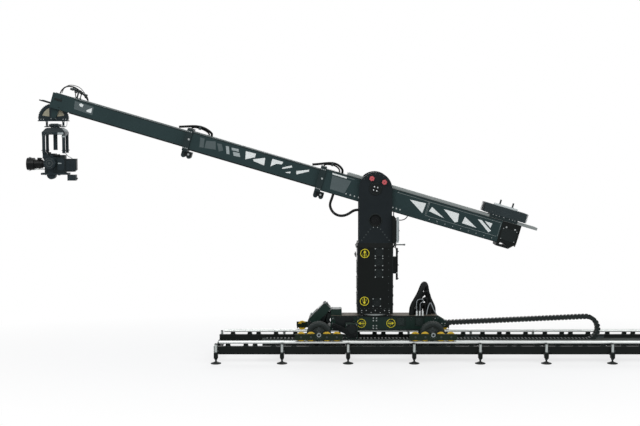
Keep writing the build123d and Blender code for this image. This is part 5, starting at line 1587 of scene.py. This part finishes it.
@dataclass
class Arm:
    """The three-stage arm: tubes, collars, strips, marks and the tail housing's details."""

    outer_y: float = 150
    mid_y: float = 127.5
    inner_y: float = 105
    mark_depth: float = 1.2

    def build(self) -> None:
        """Dress the arm's nodes and add its strips, bolts, marks and housings."""
        dress("arm_metal", "outer_tube", "mid_tube", "inner_tube")
        dress("collar_metal", "outer_collar", "mid_collar")
        dress("trim_dark", "pivot_trunnions")
        dress("tail_shell", "rear_housing")
        self._marks("outer", self.outer_y, OUTER_MARKS)
        self._marks("mid", self.mid_y, MID_MARKS)
        self._marks("inner", self.inner_y, INNER_MARKS)
        self._strips()
        self._collar_bolts()
        self._tail()
        self._nose()
        self._pivot()

    def _strip(self, stock: Stock, start: float, end: float, h: float, y: float,
        size: tuple[float, float]) -> None:
        """Lay one strip along a tube's near face.

        Args:
            stock: The stock to add to.
            start: Arm distance at its rear end.
            end: Arm distance at its front end.
            h: Height of its middle line.
            y: The face's distance from the middle plane.
            size: Its height and its thickness.
        """
        tall, proud = size
        place = LAYOUT.arm_place((start + end) / 2, h, -y)
        stock.block((end - start, proud + 1, tall), (0, proud / 2 - 0.5, 0), place, min(proud, tall) * 0.3)

    def _marks(self, name: str, y: float, marks: Marks) -> None:
        """Lay flat shapes on both faces of a tube.

        Args:
            name: The tube's name.
            y: The face's distance from the middle plane.
            marks: The shapes.
        """
        body, share, n = ("arm", 1, 0) if name == "outer" else (name, 0.12, 0)
        for finish, shapes in marks.items():
            stock = Stock()
            for corners in shapes:
                depth = share * (self.mark_depth + 0.2 * (n % 3))
                stock.plate(corners, depth, LAYOUT.arm_side(-y - depth), 0.4)
                n += 1
            stock.both_sides().make(f"{name}_{finish}", body, finish, "arm_metal")

    def _strips(self) -> None:
        """Add the light and dark strips, the frame on the rear tube and its bolts; the light strips near the
        tubes' top edges are painted highlights.
        """
        light, dark, bolts = Stock(), Stock(), Stock()
        # Light strips 2 mm proud below the top edge: their light colour paints the edge highlight
        for start, end in ((-2010, -340), (340, 460)):
            self._strip(light, start, end, 40, self.outer_y, (6, 2))
        self._strip(light, -1990, -850, -180, self.outer_y, (5, 2))
        for s in (-845, -862, -2006):
            place = LAYOUT.arm_place(s, -70, -self.outer_y)
            light.block((5, 3, 214), (0, 0.5, 0), place, 0.6)
        for h in (70, -262):
            self._strip(dark, -2010, 780, h, self.outer_y, (10, 3))
        for s in (409, 341, 274, 207, -337, -396, -455):
            bolts.bolt(LAYOUT.arm(s, -204, -self.outer_y), NEAR, 9, 6)
        for n in range(9):
            bolts.bolt(LAYOUT.arm(-930 - n * 125, -222, -self.outer_y), NEAR, 5, 4)
        light.both_sides().make("outer_strips", "arm", "trim_and_highlight", "arm_metal")
        dark.both_sides().make("outer_edges", "arm", "trim_dark", "arm_metal")
        bolts.both_sides().make("outer_bolts", "arm", "bolt_steel", "weight_iron")
        for name, body, y, start, end, top, bottom in (("mid", "mid", self.mid_y, 400, 2915, 54, -245),
            ("inner", "inner", self.inner_y, 2500, 4815, 32.5, -223.5)):
            light, dark = Stock(), Stock()
            # Raised 0.2 mm: its light colour is a painted highlight along the tube's top edge
            self._strip(light, start, end, top - 10, y, (5, 0.2))
            self._strip(dark, start, end, top - 22, y, (10, 0.2))
            self._strip(dark, start, end, bottom + 12, y, (16, 0.2))
            light.both_sides().make(f"{name}_strip", body, "trim_and_highlight", "arm_metal")
            dark.both_sides().make(f"{name}_edges", body, "trim_dark", "arm_metal")

    def _collar_bolts(self) -> None:
        """Bolt the collars and their roller blocks."""
        for name, body, s0, (width, _), top, bottom in (("outer", "arm", 800, LAYOUT.outer, 76.8, -268.2),
            ("mid", "mid", 2920, LAYOUT.mid, 54.3, -245.7)):
            bolts, plates = Stock(), Stock()
            y = width / 2 + 26
            for h in (top - 20, bottom + 20):
                for ds in (18, 45, 72):
                    bolts.bolt(LAYOUT.arm(s0 + ds, h, -y), NEAR, 6, 4)
            bolts.bolt(LAYOUT.arm(s0 + 28, (top + bottom) / 2 + 12, -y), NEAR, 12, 6)
            for ds in (15, 45, 75):
                for dy in (-60, 0, 60):
                    bolts.bolt(LAYOUT.arm(s0 + ds, top + 26, dy), LAYOUT.up, 6, 5)
            place = LAYOUT.arm_place(s0 - 10, bottom - 26 - 45, -75.5)
            plates.block((120, 4, 50), (0, 1.5, 0), place, 1)
            bolts.bolt(LAYOUT.arm(s0 - 20, bottom - 65, -78.5), NEAR, 12, 7)
            bolts.both_sides().make(f"{name}_collar_bolts", body, "bolt_steel", "weight_iron")
            plates.both_sides().make(f"{name}_roller_plates", body, "trim_dark", "collar_metal")

    def _tail(self) -> None:
        """Add a lid, a lock, bolts and a rear door to the tail housing."""
        trim, bolts = Stock(), Stock()
        for s, h in ((-2101, -2), (-2239, -4)):
            bolts.bolt(LAYOUT.arm(s, h, -self.outer_y - 1), NEAR, 10, 6)
        place = LAYOUT.arm_place(-2170, -110, -self.outer_y)
        trim.block((240, 3, 180), (0, 1, 0), place, 2)
        for ds in (-105, 105):
            for dh in (-80, 80):
                bolts.bolt(LAYOUT.arm(-2170 + ds, -110 + dh, -self.outer_y - 2.5), NEAR, 5, 3)
        trim.both_sides()
        bolts.both_sides()
        rear = LAYOUT.arm_place(-2320, -110, 0)
        trim.block((4, 240, 300), (-1, 0, 0), rear, 2)
        for dz in (-110, 110):
            bolts.block((8, 14, 40), (-6, -105, dz), rear, 2)
        bolts.round(12, 10, (-7, 100, 0), REAR, rear, 18)
        trim.make("tail_covers", "arm", "cover_paint", "camera_shell")
        bolts.make("tail_bolts", "arm", "bolt_steel", "weight_iron")

    def _nose(self) -> None:
        """Add the nose box's plates, a bumper tab and the connector cluster over the nose."""
        plates, cluster = Stock(), Stock()
        place = LAYOUT.arm_place(5030, -70, -self.inner_y)
        plates.block((120, 3, 36), (0, 1, 0), place, 1)
        for s, h in ((5112, -30), (5112, -110), (4990, -30), (4990, -180)):
            plates.bolt(LAYOUT.arm(s, h, -self.inner_y), NEAR, 6, 4)
        tongue = LAYOUT.arm_place(5165, -152, -97)
        plates.block((290, 12, 20), (0, 0, 0), tongue, 4)
        plates.block((60, 14, 26), (-118, 0, 0), tongue, 4)
        plates.both_sides().make("nose_plates", "inner", "cover_paint", "arm_metal")
        cluster.round(13, 110, LAYOUT.arm(4797, 88, 62), LAYOUT.up, sides=16)
        cluster.round(9, 90, LAYOUT.arm(4745, 78, 50), LAYOUT.up, sides=16)
        for s, h, y, radius, length in ((4860, 150, 62, 24, 85), (4790, 140, 78, 20, 70),
            (4905, 142, 46, 19, 50), (4745, 125, 48, 20, 60), (4680, 112, 60, 16, 60),
            (4835, 118, 48, 16, 44), (4660, 78, 60, 14, 50)):
            cluster.round(radius, length, LAYOUT.arm(s, h, y), LAYOUT.along, sides=18, bevel=3)
            cluster.round(radius * 1.2, 10, LAYOUT.arm(s - 12, h, y), LAYOUT.along, sides=18)
        for s, y in ((4797, 62), (4745, 50)):
            cluster.round(20, 10, LAYOUT.arm(s, 37, y), LAYOUT.up, sides=16)
        cluster.make("nose_connectors", "inner", "bolt_dark", "weight_iron")
        for name, body, s, h in (("front", "mid", 2845, 133.5), ("rear", "arm", 735, 172.5)):
            clamp = Stock()
            place = LAYOUT.arm_place(s, h, 18)
            clamp.block((34, 104, 8), (0, 0, 20), place, 3)
            clamp.block((34, 104, 8), (0, 0, -32), place, 3)
            for dy in (-46, 0, 50):
                clamp.block((30, 8, 52), (0, dy, -6), place, 2)
            clamp.bolt((0, -46, 24), UP, 6, 5, place)
            clamp.bolt((0, 50, 24), UP, 6, 5, place)
            clamp.make(f"hoop_clamp_{name}", body, "bolt_dark", "weight_iron")

    def _pivot(self) -> None:
        """Add a slanted bolt square and a rim ring to each pivot cap."""
        bolts, ring = Stock(), Stock()
        y = 229.5
        for n in range(4):
            angle = LAYOUT.tilt + math.pi / 4 + n * math.pi / 2
            spot = on_ring(-angle, 36)
            bolts.bolt(Vector((LAYOUT.slew_x, -y, LAYOUT.pivot_z)) + spot, NEAR, 8, 7)
        ring.turned([(80, 0), (82, 3), (92, 3), (94, 0)], (LAYOUT.slew_x, -y + 0.2, LAYOUT.pivot_z), NEAR,
            steps=40)
        bolts.both_sides().make("pivot_cap_bolts", "arm", "mark_white", "weight_iron")
        ring.both_sides().make("pivot_cap_rings", "arm", "cover_paint", "collar_metal")


@dataclass
class Weights:
    """The balance carriage with its stack of weight plates."""

    start: float = -2375
    end: float = -1675
    bottom: float = 135.3
    pitch: float = 20.4
    count: int = 7
    width: float = 300
    rods: tuple[float, float] = (-2125, -1925)

    def build(self) -> None:
        """Dress the carriage and swap the plates for wedge-ended ones."""
        dress("rail_dark", "weight_rail")
        dress("collar_metal", "weight_carriage")
        dress("slab_steel", "weight_clamp")
        stack = Stock()
        length = self.end - self.start
        for n in range(self.count):
            middle = self.bottom + self.pitch * n + 10
            stack.plate(self._outline(length), self.width, self._side((self.start + self.end) / 2, middle),
                0.8)
        stack.make("weight_stack", "carriage", "weight_iron", "weight_iron", ["weight_plates"])
        self._fittings()

    def _side(self, s: float, h: float) -> Matrix:
        """Give the matrix of a plate's side outline, from the near face inwards.

        Args:
            s: Arm distance of its middle.
            h: Arm height of its middle.

        Returns:
            The placing matrix.
        """
        return LAYOUT.arm_side(-self.width / 2) @ Matrix.Translation((s, h, 0))

    @staticmethod
    def _outline(length: float) -> list[tuple[float, float]]:
        """Give a plate's side outline with its ends drawn in to thin lips.

        Args:
            length: The plate's length.

        Returns:
            The outline's points.
        """
        half = length / 2
        return [(-half, -2), (-half + 26, -10), (half - 26, -10), (half, -2), (half, 4.5), (half - 22, 10),
            (-half + 22, 10), (-half, 4.5)]

    def _fittings(self) -> None:
        """Add nuts and washers on the rods, lift handles, and carriage rollers and bolts."""
        nuts, handles, wheels = Stock(), Stock(), Stock()
        for s in self.rods:
            nuts.turned([(13.5, 0), (26, 0), (26, 4), (13.5, 4)], LAYOUT.arm(s, 306, 0), LAYOUT.up, steps=24)
        nuts.make("rod_washers", "carriage", "bolt_steel", "slab_steel")
        for s in (self.start + 150, self.end - 150):
            for dh in (30, 112):
                spot = LAYOUT.arm(s, self.bottom + dh, -self.width / 2)
                handles.bolt(spot, NEAR, 7, 4)
        handles.both_sides().make("plate_pins", "carriage", "bolt_dark", "weight_iron")
        for s in (-2200, -2110, -1950, -1850):
            spot = LAYOUT.arm(s, 127, -132.5)
            wheels.round(7.2, 6, spot + NEAR * 2, NEAR, sides=14)
        for s in (-2160, -2020, -1900):
            wheels.block((20, 6, 10), (0, 2.5, 0), LAYOUT.arm_place(s, 127, -132.5), 1)
        wheels.both_sides().make("carriage_bolts", "carriage", "bolt_steel", "weight_iron")


@dataclass
class Head:
    """The levelling sector, the hanger and the pan fork."""

    def build(self) -> None:
        """Dress the head's nodes and add its insets, caps and connectors."""
        dress("head_metal", "level_sector", "head_hanger", "pan_frame", "tilt_drive")
        self._windows()
        self._sector_pin()
        self._hanger()
        self._cap()
        self._posts()

    def _windows(self) -> None:
        """Fill the sector's recessed windows with tan plates."""
        tan = Stock()
        centre = LAYOUT.level
        for a0, a1 in ((16, 74), (106, 164)):
            outline = [(62 * math.cos(math.radians((a0 + a1) / 2)), 30)]
            for n in range(9):
                angle = math.radians(a0 + (a1 - a0) * n / 8)
                outline.append((176 * math.cos(angle), 176 * math.sin(angle)))
            frame = UPRIGHT
            place = Matrix.Translation((centre.x, -11.5, centre.z)) @ frame
            tan.plate(outline, 0.6, place, 0)
        tan.both_sides().make("sector_windows", "level", "window_tan", "head_metal")

    def _sector_pin(self) -> None:
        """Bolt round the levelling pin and along the sector's web and flat."""
        steel = Stock()
        centre = LAYOUT.level
        for n in range(6):
            angle = n * math.pi / 3
            spot = centre + Vector((math.cos(angle) * 34, -22, math.sin(angle) * 34 + 2))
            if spot.z > centre.z - 20:
                steel.bolt(spot, NEAR, 6, 5)
        for dx in (-190, -150, 150, 190):
            steel.bolt(centre + Vector((dx, -22, -8)), NEAR, 6, 5)
        steel.both_sides().make("sector_bolts", "level", "bolt_steel", "weight_iron")

    def _hanger(self) -> None:
        """Add collars, nuts and plate bolts to the hanger."""
        nuts, dark = Stock(), Stock()
        for dx in (-127, 127):
            nuts.round(24, 10, (LAYOUT.head_x + dx, 0, LAYOUT.level.z - 44), sides=6, bevel=0)
            nuts.round(24, 8, (LAYOUT.head_x + dx, 0, LAYOUT.level.z - 110), sides=6, bevel=0)
            for dy in (-55, 55):
                nuts.bolt((LAYOUT.head_x + dx * 0.6, dy, LAYOUT.level.z - 115), UP, 8, 6)
        dark.block((120, 8, 20), (LAYOUT.head_x, -52, LAYOUT.level.z - 82))
        dark.round(13, 20, (LAYOUT.head_x + 60, -55, LAYOUT.level.z - 90), NEAR, sides=16)
        dark.round(13, 20, (LAYOUT.head_x - 30, -55, LAYOUT.level.z - 90), NEAR, sides=16)
        nuts.make("hanger_nuts", "level", "bolt_steel", "weight_iron")
        dark.make("hanger_sockets", "level", "bolt_dark", "head_metal")

    def _cap(self) -> None:
        """Lay light panels on the cap's rear half and vents on its front half."""
        light, vents = Stock(), Stock()
        x, z = LAYOUT.head_x, LAYOUT.level.z
        run, drop = 61, 65.7
        slope = math.atan2(drop, run)
        for side, stock, length in ((1, light, 74), (-1, vents, 60)):
            turn = Matrix.Rotation(side * slope, 4, "Y")
            place = Matrix.Translation((x + side * (115 + run / 2), 0, z - 137.3 - drop / 2)) @ turn
            stock.block((length, 200, 3), (0, 0, 1.6), place, 1)
        light.block((90, 2.5, 30), (x + 110, -145, z - 223), bevel=1)
        light.block((90, 2.5, 30), (x + 110, 145, z - 223), bevel=1)
        for n in range(4):
            vents.block((100, 3, 4), (x - 70, -145.2, z - 212 - n * 7), bevel=1)
        light.make("cap_panels", "pan", "mark_grey", "head_metal")
        vents.make("cap_vents", "pan", "bolt_dark", "head_metal")

    def _posts(self) -> None:
        """Add clamp rings, levers and cap nuts to the posts, and a grey ring on a rear one."""
        rings, grey = Stock(), Stock()
        x, z = LAYOUT.head_x, LAYOUT.level.z
        for dx in (-153, 153):
            for dy in (-120, 120):
                foot = Vector((x + dx, dy, z - 243))
                rings.round(27, 16, foot - UP * 12, sides=22)
                rings.block((20, 10, 12), foot + Vector((28 if dx > 0 else -28, 0, -240)))
                rings.bolt(foot + UP * 40, UP, 10, 8)
        grey.turned([(24.5, -12), (31, -8), (31, 8), (24.5, 12)], (x + 153, -120, z - 272), steps=24)
        rings.make("post_rings", "pan", "bolt_dark", "head_metal")
        grey.make("post_grey_ring", "pan", "mark_grey", "head_metal")


@dataclass
class CameraRig:
    """The camera with its lens, magazine, cradle and power box."""

    def build(self) -> None:
        """Dress the camera's nodes and add its fittings."""
        dress("camera_shell", "camera_body")
        dress("lens_black", "lens")
        dress("head_metal", "camera_cradle")
        self._body_details()
        self._lens_rings()
        self._cradle_details()

    def _at(self, dx: float, y: float, dz: float) -> Vector:
        """Give a point from the head's pan axis and the tilt axis's height.

        Args:
            dx: Distance behind the pan axis.
            y: Sideways place.
            dz: Height over the tilt axis.

        Returns:
            The point.
        """
        return Vector((LAYOUT.head_x + dx, y, LAYOUT.tilt_axis.z + dz))

    def _body_details(self) -> None:
        """Add doors, buttons, a display, a viewfinder, a handle and magazine ribs."""
        trim, dark, light = Stock(), Stock(), Stock()
        for side in (-1, 1):
            y = side * 64.8
            trim.block((150, 4, 120), self._at(-60, y + side, 60), bevel=3)
            trim.block((110, 4, 180), self._at(90, y + side, -20), bevel=3)
            trim.block((140, 4, 90), self._at(-65, y + side, -80), bevel=3)
            for dx, dz in ((-115, 92), (-90, 92), (-65, 92), (-115, 72), (-90, 72)):
                dark.round(6, 6, self._at(dx, y + side * 5, dz), (0, side, 0), sides=12)
            dark.round(26, 10, self._at(-85, y + side * 6, 36), (0, side, 0), sides=28)
            light.round(10, 3, self._at(-105, y + side * 3.5, 108), (0, side, 0), sides=16)
            for dx, dz in ((45, 62), (135, 62), (45, -104), (135, -104)):
                dark.bolt(self._at(dx, y + side * 3, dz), (0, side, 0), 4, 3)
            light.block((56, 2, 18), self._at(74, y + side * 3.2, -4), bevel=0.8)
            trim.block((130, 3, 150), self._at(240, side * 55.6, -36), bevel=3)
            for n in range(5):
                dark.block((4, 3, 140), self._at(200 + n * 20, side * 57.2, -36), bevel=1)
        for dx in (-132, -78):
            dark.round(8, 24, self._at(dx, 0, 150), UP, sides=14)
        dark.block((78, 22, 14), self._at(-105, 0, 160), bevel=6)
        dark.round(18, 80, self._at(20, -70, 118), REAR, sides=22, bevel=4)
        dark.round(23, 22, self._at(70, -70, 118), REAR, sides=22, bevel=5)
        dark.block((26, 30, 16), self._at(0, -72, 118), bevel=3)
        for n in range(6):
            dark.block((2.5, 80, 12), self._at(324.5, 0, 44 - n * 30), bevel=1)
        trim.make("camera_doors", "camera", "head_metal", "camera_shell")
        dark.make("camera_controls", "camera", "lens_black", "camera_shell")
        light.make("camera_plates", "camera", "mark_grey", "camera_shell")

    def _lens_rings(self) -> None:
        """Add focus and zoom rings, a geared band, a motor, the front glass and hood flags."""
        rings, glass, rod = Stock(), Stock(), Stock()
        axis = self._at(-159.2, 0, -14)
        for start, depth, radius in ((46, 14, 70.5), (78, 20, 71.2), (112, 10, 70), (140, 16, 70.8)):
            rings.round(radius, depth, axis + FRONT * (start + depth / 2), REAR, sides=48, bevel=1)
        for n in range(40):
            angle = n * math.tau / 40
            turn = Matrix.Translation(axis + FRONT * 88) @ Matrix.Rotation(angle, 4, "X")
            rings.block((16, 3.5, 3), (0, 0, 71.8), turn, 0)
        rings.round(20, 60, axis + Vector((-80, -50, 78)), REAR, sides=20)
        rings.block((30, 20, 50), axis + Vector((-90, -40, 62)), bevel=3)
        for dy in (-30, 30):
            rod.round(7.5, 190, axis + Vector((-85, dy, -82)), REAR, sides=14)
        rod.block((16, 90, 22), axis + Vector((-150, 0, -78)))
        glass.turned([(0, 10), (20, 9.2), (40, 6.6), (56, 2.5), (58, 0), (0, 0)], axis + FRONT * 176, FRONT,
            steps=40)
        for dz, tilt in ((94, 0.5), (-94, -0.5)):
            turn = Matrix.Rotation(tilt, 4, "Y")
            place = Matrix.Translation(axis + Vector((-225, 0, dz))) @ turn
            rings.block((50, 110, 3), (0, 0, 0), place, 1)
        rings.make("lens_rings", "camera", "lens_black", "lens_black")
        rod.make("lens_rods", "camera", "bolt_steel", "lens_black")
        glass.make("front_glass", "camera", "lens_glass", "lens_black")

    def _cradle_details(self) -> None:
        """Add screws, the tilt drum's bolts and rings, a lock knob, and the power box's ribs and socket."""
        steel, dark, drum = Stock(), Stock(), Stock()
        for n in range(6):
            angle = n * math.pi / 3
            spot = self._at(-63 + math.cos(angle) * 70, -167.3, math.sin(angle) * 70)
            drum.bolt(spot, NEAR, 6, 4)
        drum.round(22, 6, self._at(-63, -169.3, 0), NEAR)
        drum.turned([(40, 0), (42, 3), (56, 3), (58, 0)], self._at(-63, -167.3, 0), NEAR, steps=36)
        drum.make("tilt_drum_details", "pan", "bolt_dark", "head_metal")
        for side in (-1, 1):
            for dx in (-150, -110, 20, 60):
                steel.bolt(self._at(dx, side * 60, -180), (0, 0, -1), 7, 5)
        for n in range(6):
            dark.block((4, 101, 70), self._at(200 + n * 20, 0, -225), bevel=1)
        dark.round(12, 16, self._at(321, 30, -240), REAR, sides=16)
        dark.round(18, 12, self._at(50, 0, -186), UP, sides=18)
        steel.make("cradle_screws", "camera", "bolt_steel", "weight_iron")
        dark.make("cradle_details", "camera", "bolt_dark", "camera_shell")


class Direction(Enum):
    """Which way a travel mark points, as a turn from up."""

    UP = 0.0
    LEFT = math.pi / 2
    DOWN = math.pi
    RIGHT = -math.pi / 2


@dataclass(frozen=True)
class TravelMark:
    """A plain yellow ring with an arrow, on a near or far face."""

    x: float
    y: float
    z: float
    way: Direction

    def add(self, stock: Stock) -> None:
        """Add the ring, its arrow and four ticks.

        Args:
            stock: The stock to add to.
        """
        centre = Vector((LAYOUT.slew_x + self.x, self.y, self.z))
        stock.turned([(60, 0), (60, 1.4), (69.5, 1.4), (69.5, 0)], centre, NEAR, steps=40)
        face = UPRIGHT
        place = Matrix.Translation(centre) @ face @ Matrix.Rotation(self.way.value, 4, "Z")
        arrow = [(-6, -50), (6, -50), (6, 10), (24, 10), (0, 50), (-24, 10), (-6, 10)]
        stock.plate(arrow, 1.4, place, 0)
        for side in (-1, 1):
            for level in (-30, -10):
                stock.block((14, 6, 1.4), (side * 26, level, 0.7), place, 0)


def arm_route(points: Iterable[Sequence[float]], *y: float) -> tuple[Point, ...]:
    """Turn arm points into places in the crane's frame.

    Args:
        points: Arm distance, arm height and sideways place of each point.
        y: The sideways place, where all points have the same.

    Returns:
        The places.
    """
    return tuple(tuple(LAYOUT.arm(*point, *y)) for point in points)


def off_slew(points: Iterable[Point], up: float = 0.0) -> tuple[Point, ...]:
    """Shift points that are measured from the slew axis into the crane's frame.

    Args:
        points: Points from the slew axis.
        up: Height of their origin.

    Returns:
        The places.
    """
    return tuple((LAYOUT.slew_x + x, y, up + z) for x, y, z in points)


def off_head(points: Iterable[Point]) -> tuple[Point, ...]:
    """Shift points that are measured from the pan axis and the levelling pivot's height.

    Args:
        points: Points from there.

    Returns:
        The places.
    """
    return tuple((LAYOUT.head_x + x, y, LAYOUT.level.z + z) for x, y, z in points)


def strand(n: int) -> tuple[Point, ...]:
    """Give the route of one cable that fills the loom's arch.

    Args:
        n: The cable's number: three nested arches in front, then three behind.

    Returns:
        Its route from the deck up, over and back down.
    """
    layer, ring = divmod(n, 3)
    y = (-24, 22)[layer]
    inset = 58 + 38 * ring + 16 * layer
    left, right = 571 + inset, 920 - inset
    height = (330, 225, 135)[ring] - 40 * layer
    points = [(left, y, 664)]
    for degrees in range(0, 181, 22):
        angle = math.radians(min(degrees * 1.023, 180))
        share = math.sin(angle) ** 1.35
        x = (left + right) / 2 - math.cos(angle) * (right - left) / 2 + 55 * share * height / 300
        points.append((x, y, 700 + height * share))
    points.append((right, y, 664))
    return off_slew(points)


def all_cords() -> list[CordPlan]:
    """List every cable on the crane.

    Returns:
        The plans.
    """
    plans = [
        CordPlan("loom_sleeve", "dolly", off_slew(
                ((571, -80, 662.5), (571, -80, 740), (592, -80, 820), (640, -80, 900), (700, -78, 1010),
                (738, -56, 1108), (772, -5, 1146), (800, 46, 1108), (815, 68, 1010), (848, 70, 900),
                (892, 70, 810), (920, 70, 745), (920, 70, 662.5))), 84, replaces=("cable_loom",)),
        CordPlan("arm_service_loop", "arm", arm_route(((594, -268.6, -100), (594, -325.2, -100)))
            + off_slew(((-697, -108, -232), (-690, -120, -300), (-648, -136, -370), (-580, -152, -412),
                (-500, -168, -420), (-425, -182, -395), (-360, -190, -350), (-310, -192.5, -324),
                (-254.4, -192.5, -324)), LAYOUT.pivot_z), 41, replaces=("arm_cable_loop",),
            far_body="turntable"),
        CordPlan("front_hoop", "mid",
            arm_route(((3160, 53), (3075, 82), (2985, 114), (2895, 140), (2800, 146), (2715, 128),
                (2660, 102), (2640, 84), (2640, 54.7)), 0), 37, replaces=("cable_hoop_front",)),
        CordPlan("rear_hoop", "arm", arm_route(((1030, 76), (950, 104), (865, 141), (775, 175), (690, 190),
                (615, 170), (570, 138), (550, 108), (550, 77.2)), 0), 37, replaces=("cable_hoop_rear",)),
        CordPlan("front_hoop_pair", "mid", arm_route(((2972, 81.5), (2964, 98), (2930, 112), (2870, 119),
                (2800, 118), (2725, 100), (2690, 80), (2680, 54.7)), 42), 24),
        CordPlan("rear_hoop_pair", "arm", arm_route(((852, 104), (848, 122), (822, 138), (768, 152),
                (700, 158), (640, 142), (600, 112), (590, 77.2)), 42), 24),
        CordPlan("nose_arc", "inner", arm_route(((5028, 34.5, -96), (5026, 66, -96), (5008, 113, -88),
                (4978, 155, -72), (4925, 180, -58), (4862, 184, -50), (4795, 168, -48), (4728, 136, -48),
                (4664, 96, -48), (4618, 62, -48), (4604, 43.5, -48))), 20),
        CordPlan("nose_thin_arc", "inner", arm_route(((5046, 34.5, 96), (5046, 70, 96), (5030, 125, 86),
                (4985, 180, 66), (4915, 205, 50), (4830, 206, 40), (4762, 188, 34), (4700, 140, 30),
                (4640, 84, 30), (4608, 40, 30))), 10),
        CordPlan("nose_link", "inner",
            arm_route(((4622, 38.5, 80), (4632, 62, 80), (4660, 98, 78), (4720, 126, 72), (4790, 132, 58),
                (4836, 116, 46), (4834, 76, 44), (4812, 38, 44))), 14),
        CordPlan("tail_loop", "arm", arm_route(((-380, -270, -80), (-384, -310, -80), (-420, -352, -80),
                (-480, -372, -80), (-545, -352, -80), (-590, -310, -80), (-600, -270, -80))), 15),
        CordPlan("head_drop", "level", off_head(((184, -12, -25), (186, -12, -45), (186, -14, -85),
                (176, -20, -118), (140, -28, -128), (98, -34, -124.5))), 8, finish="cable_grey"),
        CordPlan("pan_loop", "pan", off_head(((150, -60, -172), (178, -66, -160), (206, -82, -176),
                (214, -104, -206), (206, -120, -240), (184, -122, -262))), 9, finish="cable_grey"),
        CordPlan("camera_lead", "camera", off_head(((120, 10, -531), (134, 4, -522), (164, -10, -534),
                (184, -20, -566), (214, -26, -584), (250, -28, -600), (262, -28, -611))), 10,
            finish="cable_grey"),
        CordPlan("lens_lead", "camera",
            off_head(((-210, -50, -614), (-196, -56, -606), (-176, -52, -585), (-165, -40, -556),
                (-148, -30, -536), (-128, -26, -533))), 8)]
    plans += [CordPlan(f"loom_strand_{n + 1}", "dolly", strand(n), 36) for n in range(6)]
    plans += [
        CordPlan("loom_grey_bow", "dolly", off_slew(
                ((694, -130, 664), (696, -130, 700), (700, -130, 790), (696, -130, 855), (730, -128, 868),
                (757, -127, 892), (735, -128, 916), (690, -130, 920), (654, -132, 905), (640, -132, 850),
                (646, -131, 780), (647, -130, 700), (647, -130, 664))), 10, finish="cable_grey"),
        CordPlan("loom_grey_lead_2", "dolly", off_slew(
                ((800, -104, 664), (806, -108, 720), (828, -112, 810), (858, -112, 870), (884, -108, 820),
                (912, -104, 740), (952, -100, 690), (956, -100, 664))), 14, finish="cable_grey"),
        CordPlan("column_lead", "turntable", off_slew(
                ((299, -262, 1780), (300, -262, 1755), (316, -238, 1712), (330, -190, 1660),
                (334, -165, 1580), (334, -156, 1480), (334, -152, 1360), (334, -148, 1260))), 18)]
    return plans


def add_marks_and_plugs() -> None:
    """Add the travel marks and the loom's light plugs."""
    column, chassis = Stock(), Stock()
    for stock, x, y, z, way in ((column, -161.5, -215.2, 1638, Direction.UP),
        (column, -165.5, -215.2, 899, Direction.DOWN), (chassis, -209, -150.2, 545, Direction.LEFT),
        (chassis, 248, -150.2, 545, Direction.RIGHT)):
        TravelMark(x, y, z, way).add(stock)
    column.both_sides().make("column_marks", "turntable", "mark_yellow", "column_paint")
    chassis.both_sides().make("chassis_marks", "dolly", "mark_yellow", "dolly_paint")
    plugs = Stock()
    for x in (647, 694, 740):
        spot = Vector((LAYOUT.slew_x + x, -130, 698))
        plugs.round(12.5, 72, spot, sides=18, bevel=3)
        plugs.round(16, 10, spot - UP * 30, sides=18)
    plugs.make("loom_plugs", "dolly", "mark_white", "ring_steel")


def main() -> None:
    """Dress the crane, add its fittings and finish the frame."""
    logging.basicConfig(level=logging.INFO, format="%(message)s")
    Stock.shop = Paintshop(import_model()["nodes"])
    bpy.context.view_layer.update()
    bpy.context.scene.view_settings.view_transform = "Standard"
    Studio().build()
    for builder in (Track(), Dolly(), Column(), Arm(), Weights(), Head(), CameraRig(), EnergyChain()):
        builder.build()
    for end, end_name in ((-1, "front"), (1, "rear")):
        for side in Side:
            RoadWheel(f"{end_name}_{side.name.lower()}", end, side).build()
    lines = [end * Dolly.axle + offset for end in (-1, 1) for offset in TRACK_WHEEL_LINES]
    for number, line in enumerate(lines, 1):
        TrackWheel(number, line).build()
    add_marks_and_plugs()
    maker = CordMaker()
    for plan in all_cords():
        maker.lay(plan)


if __name__ == "__main__":
    main()
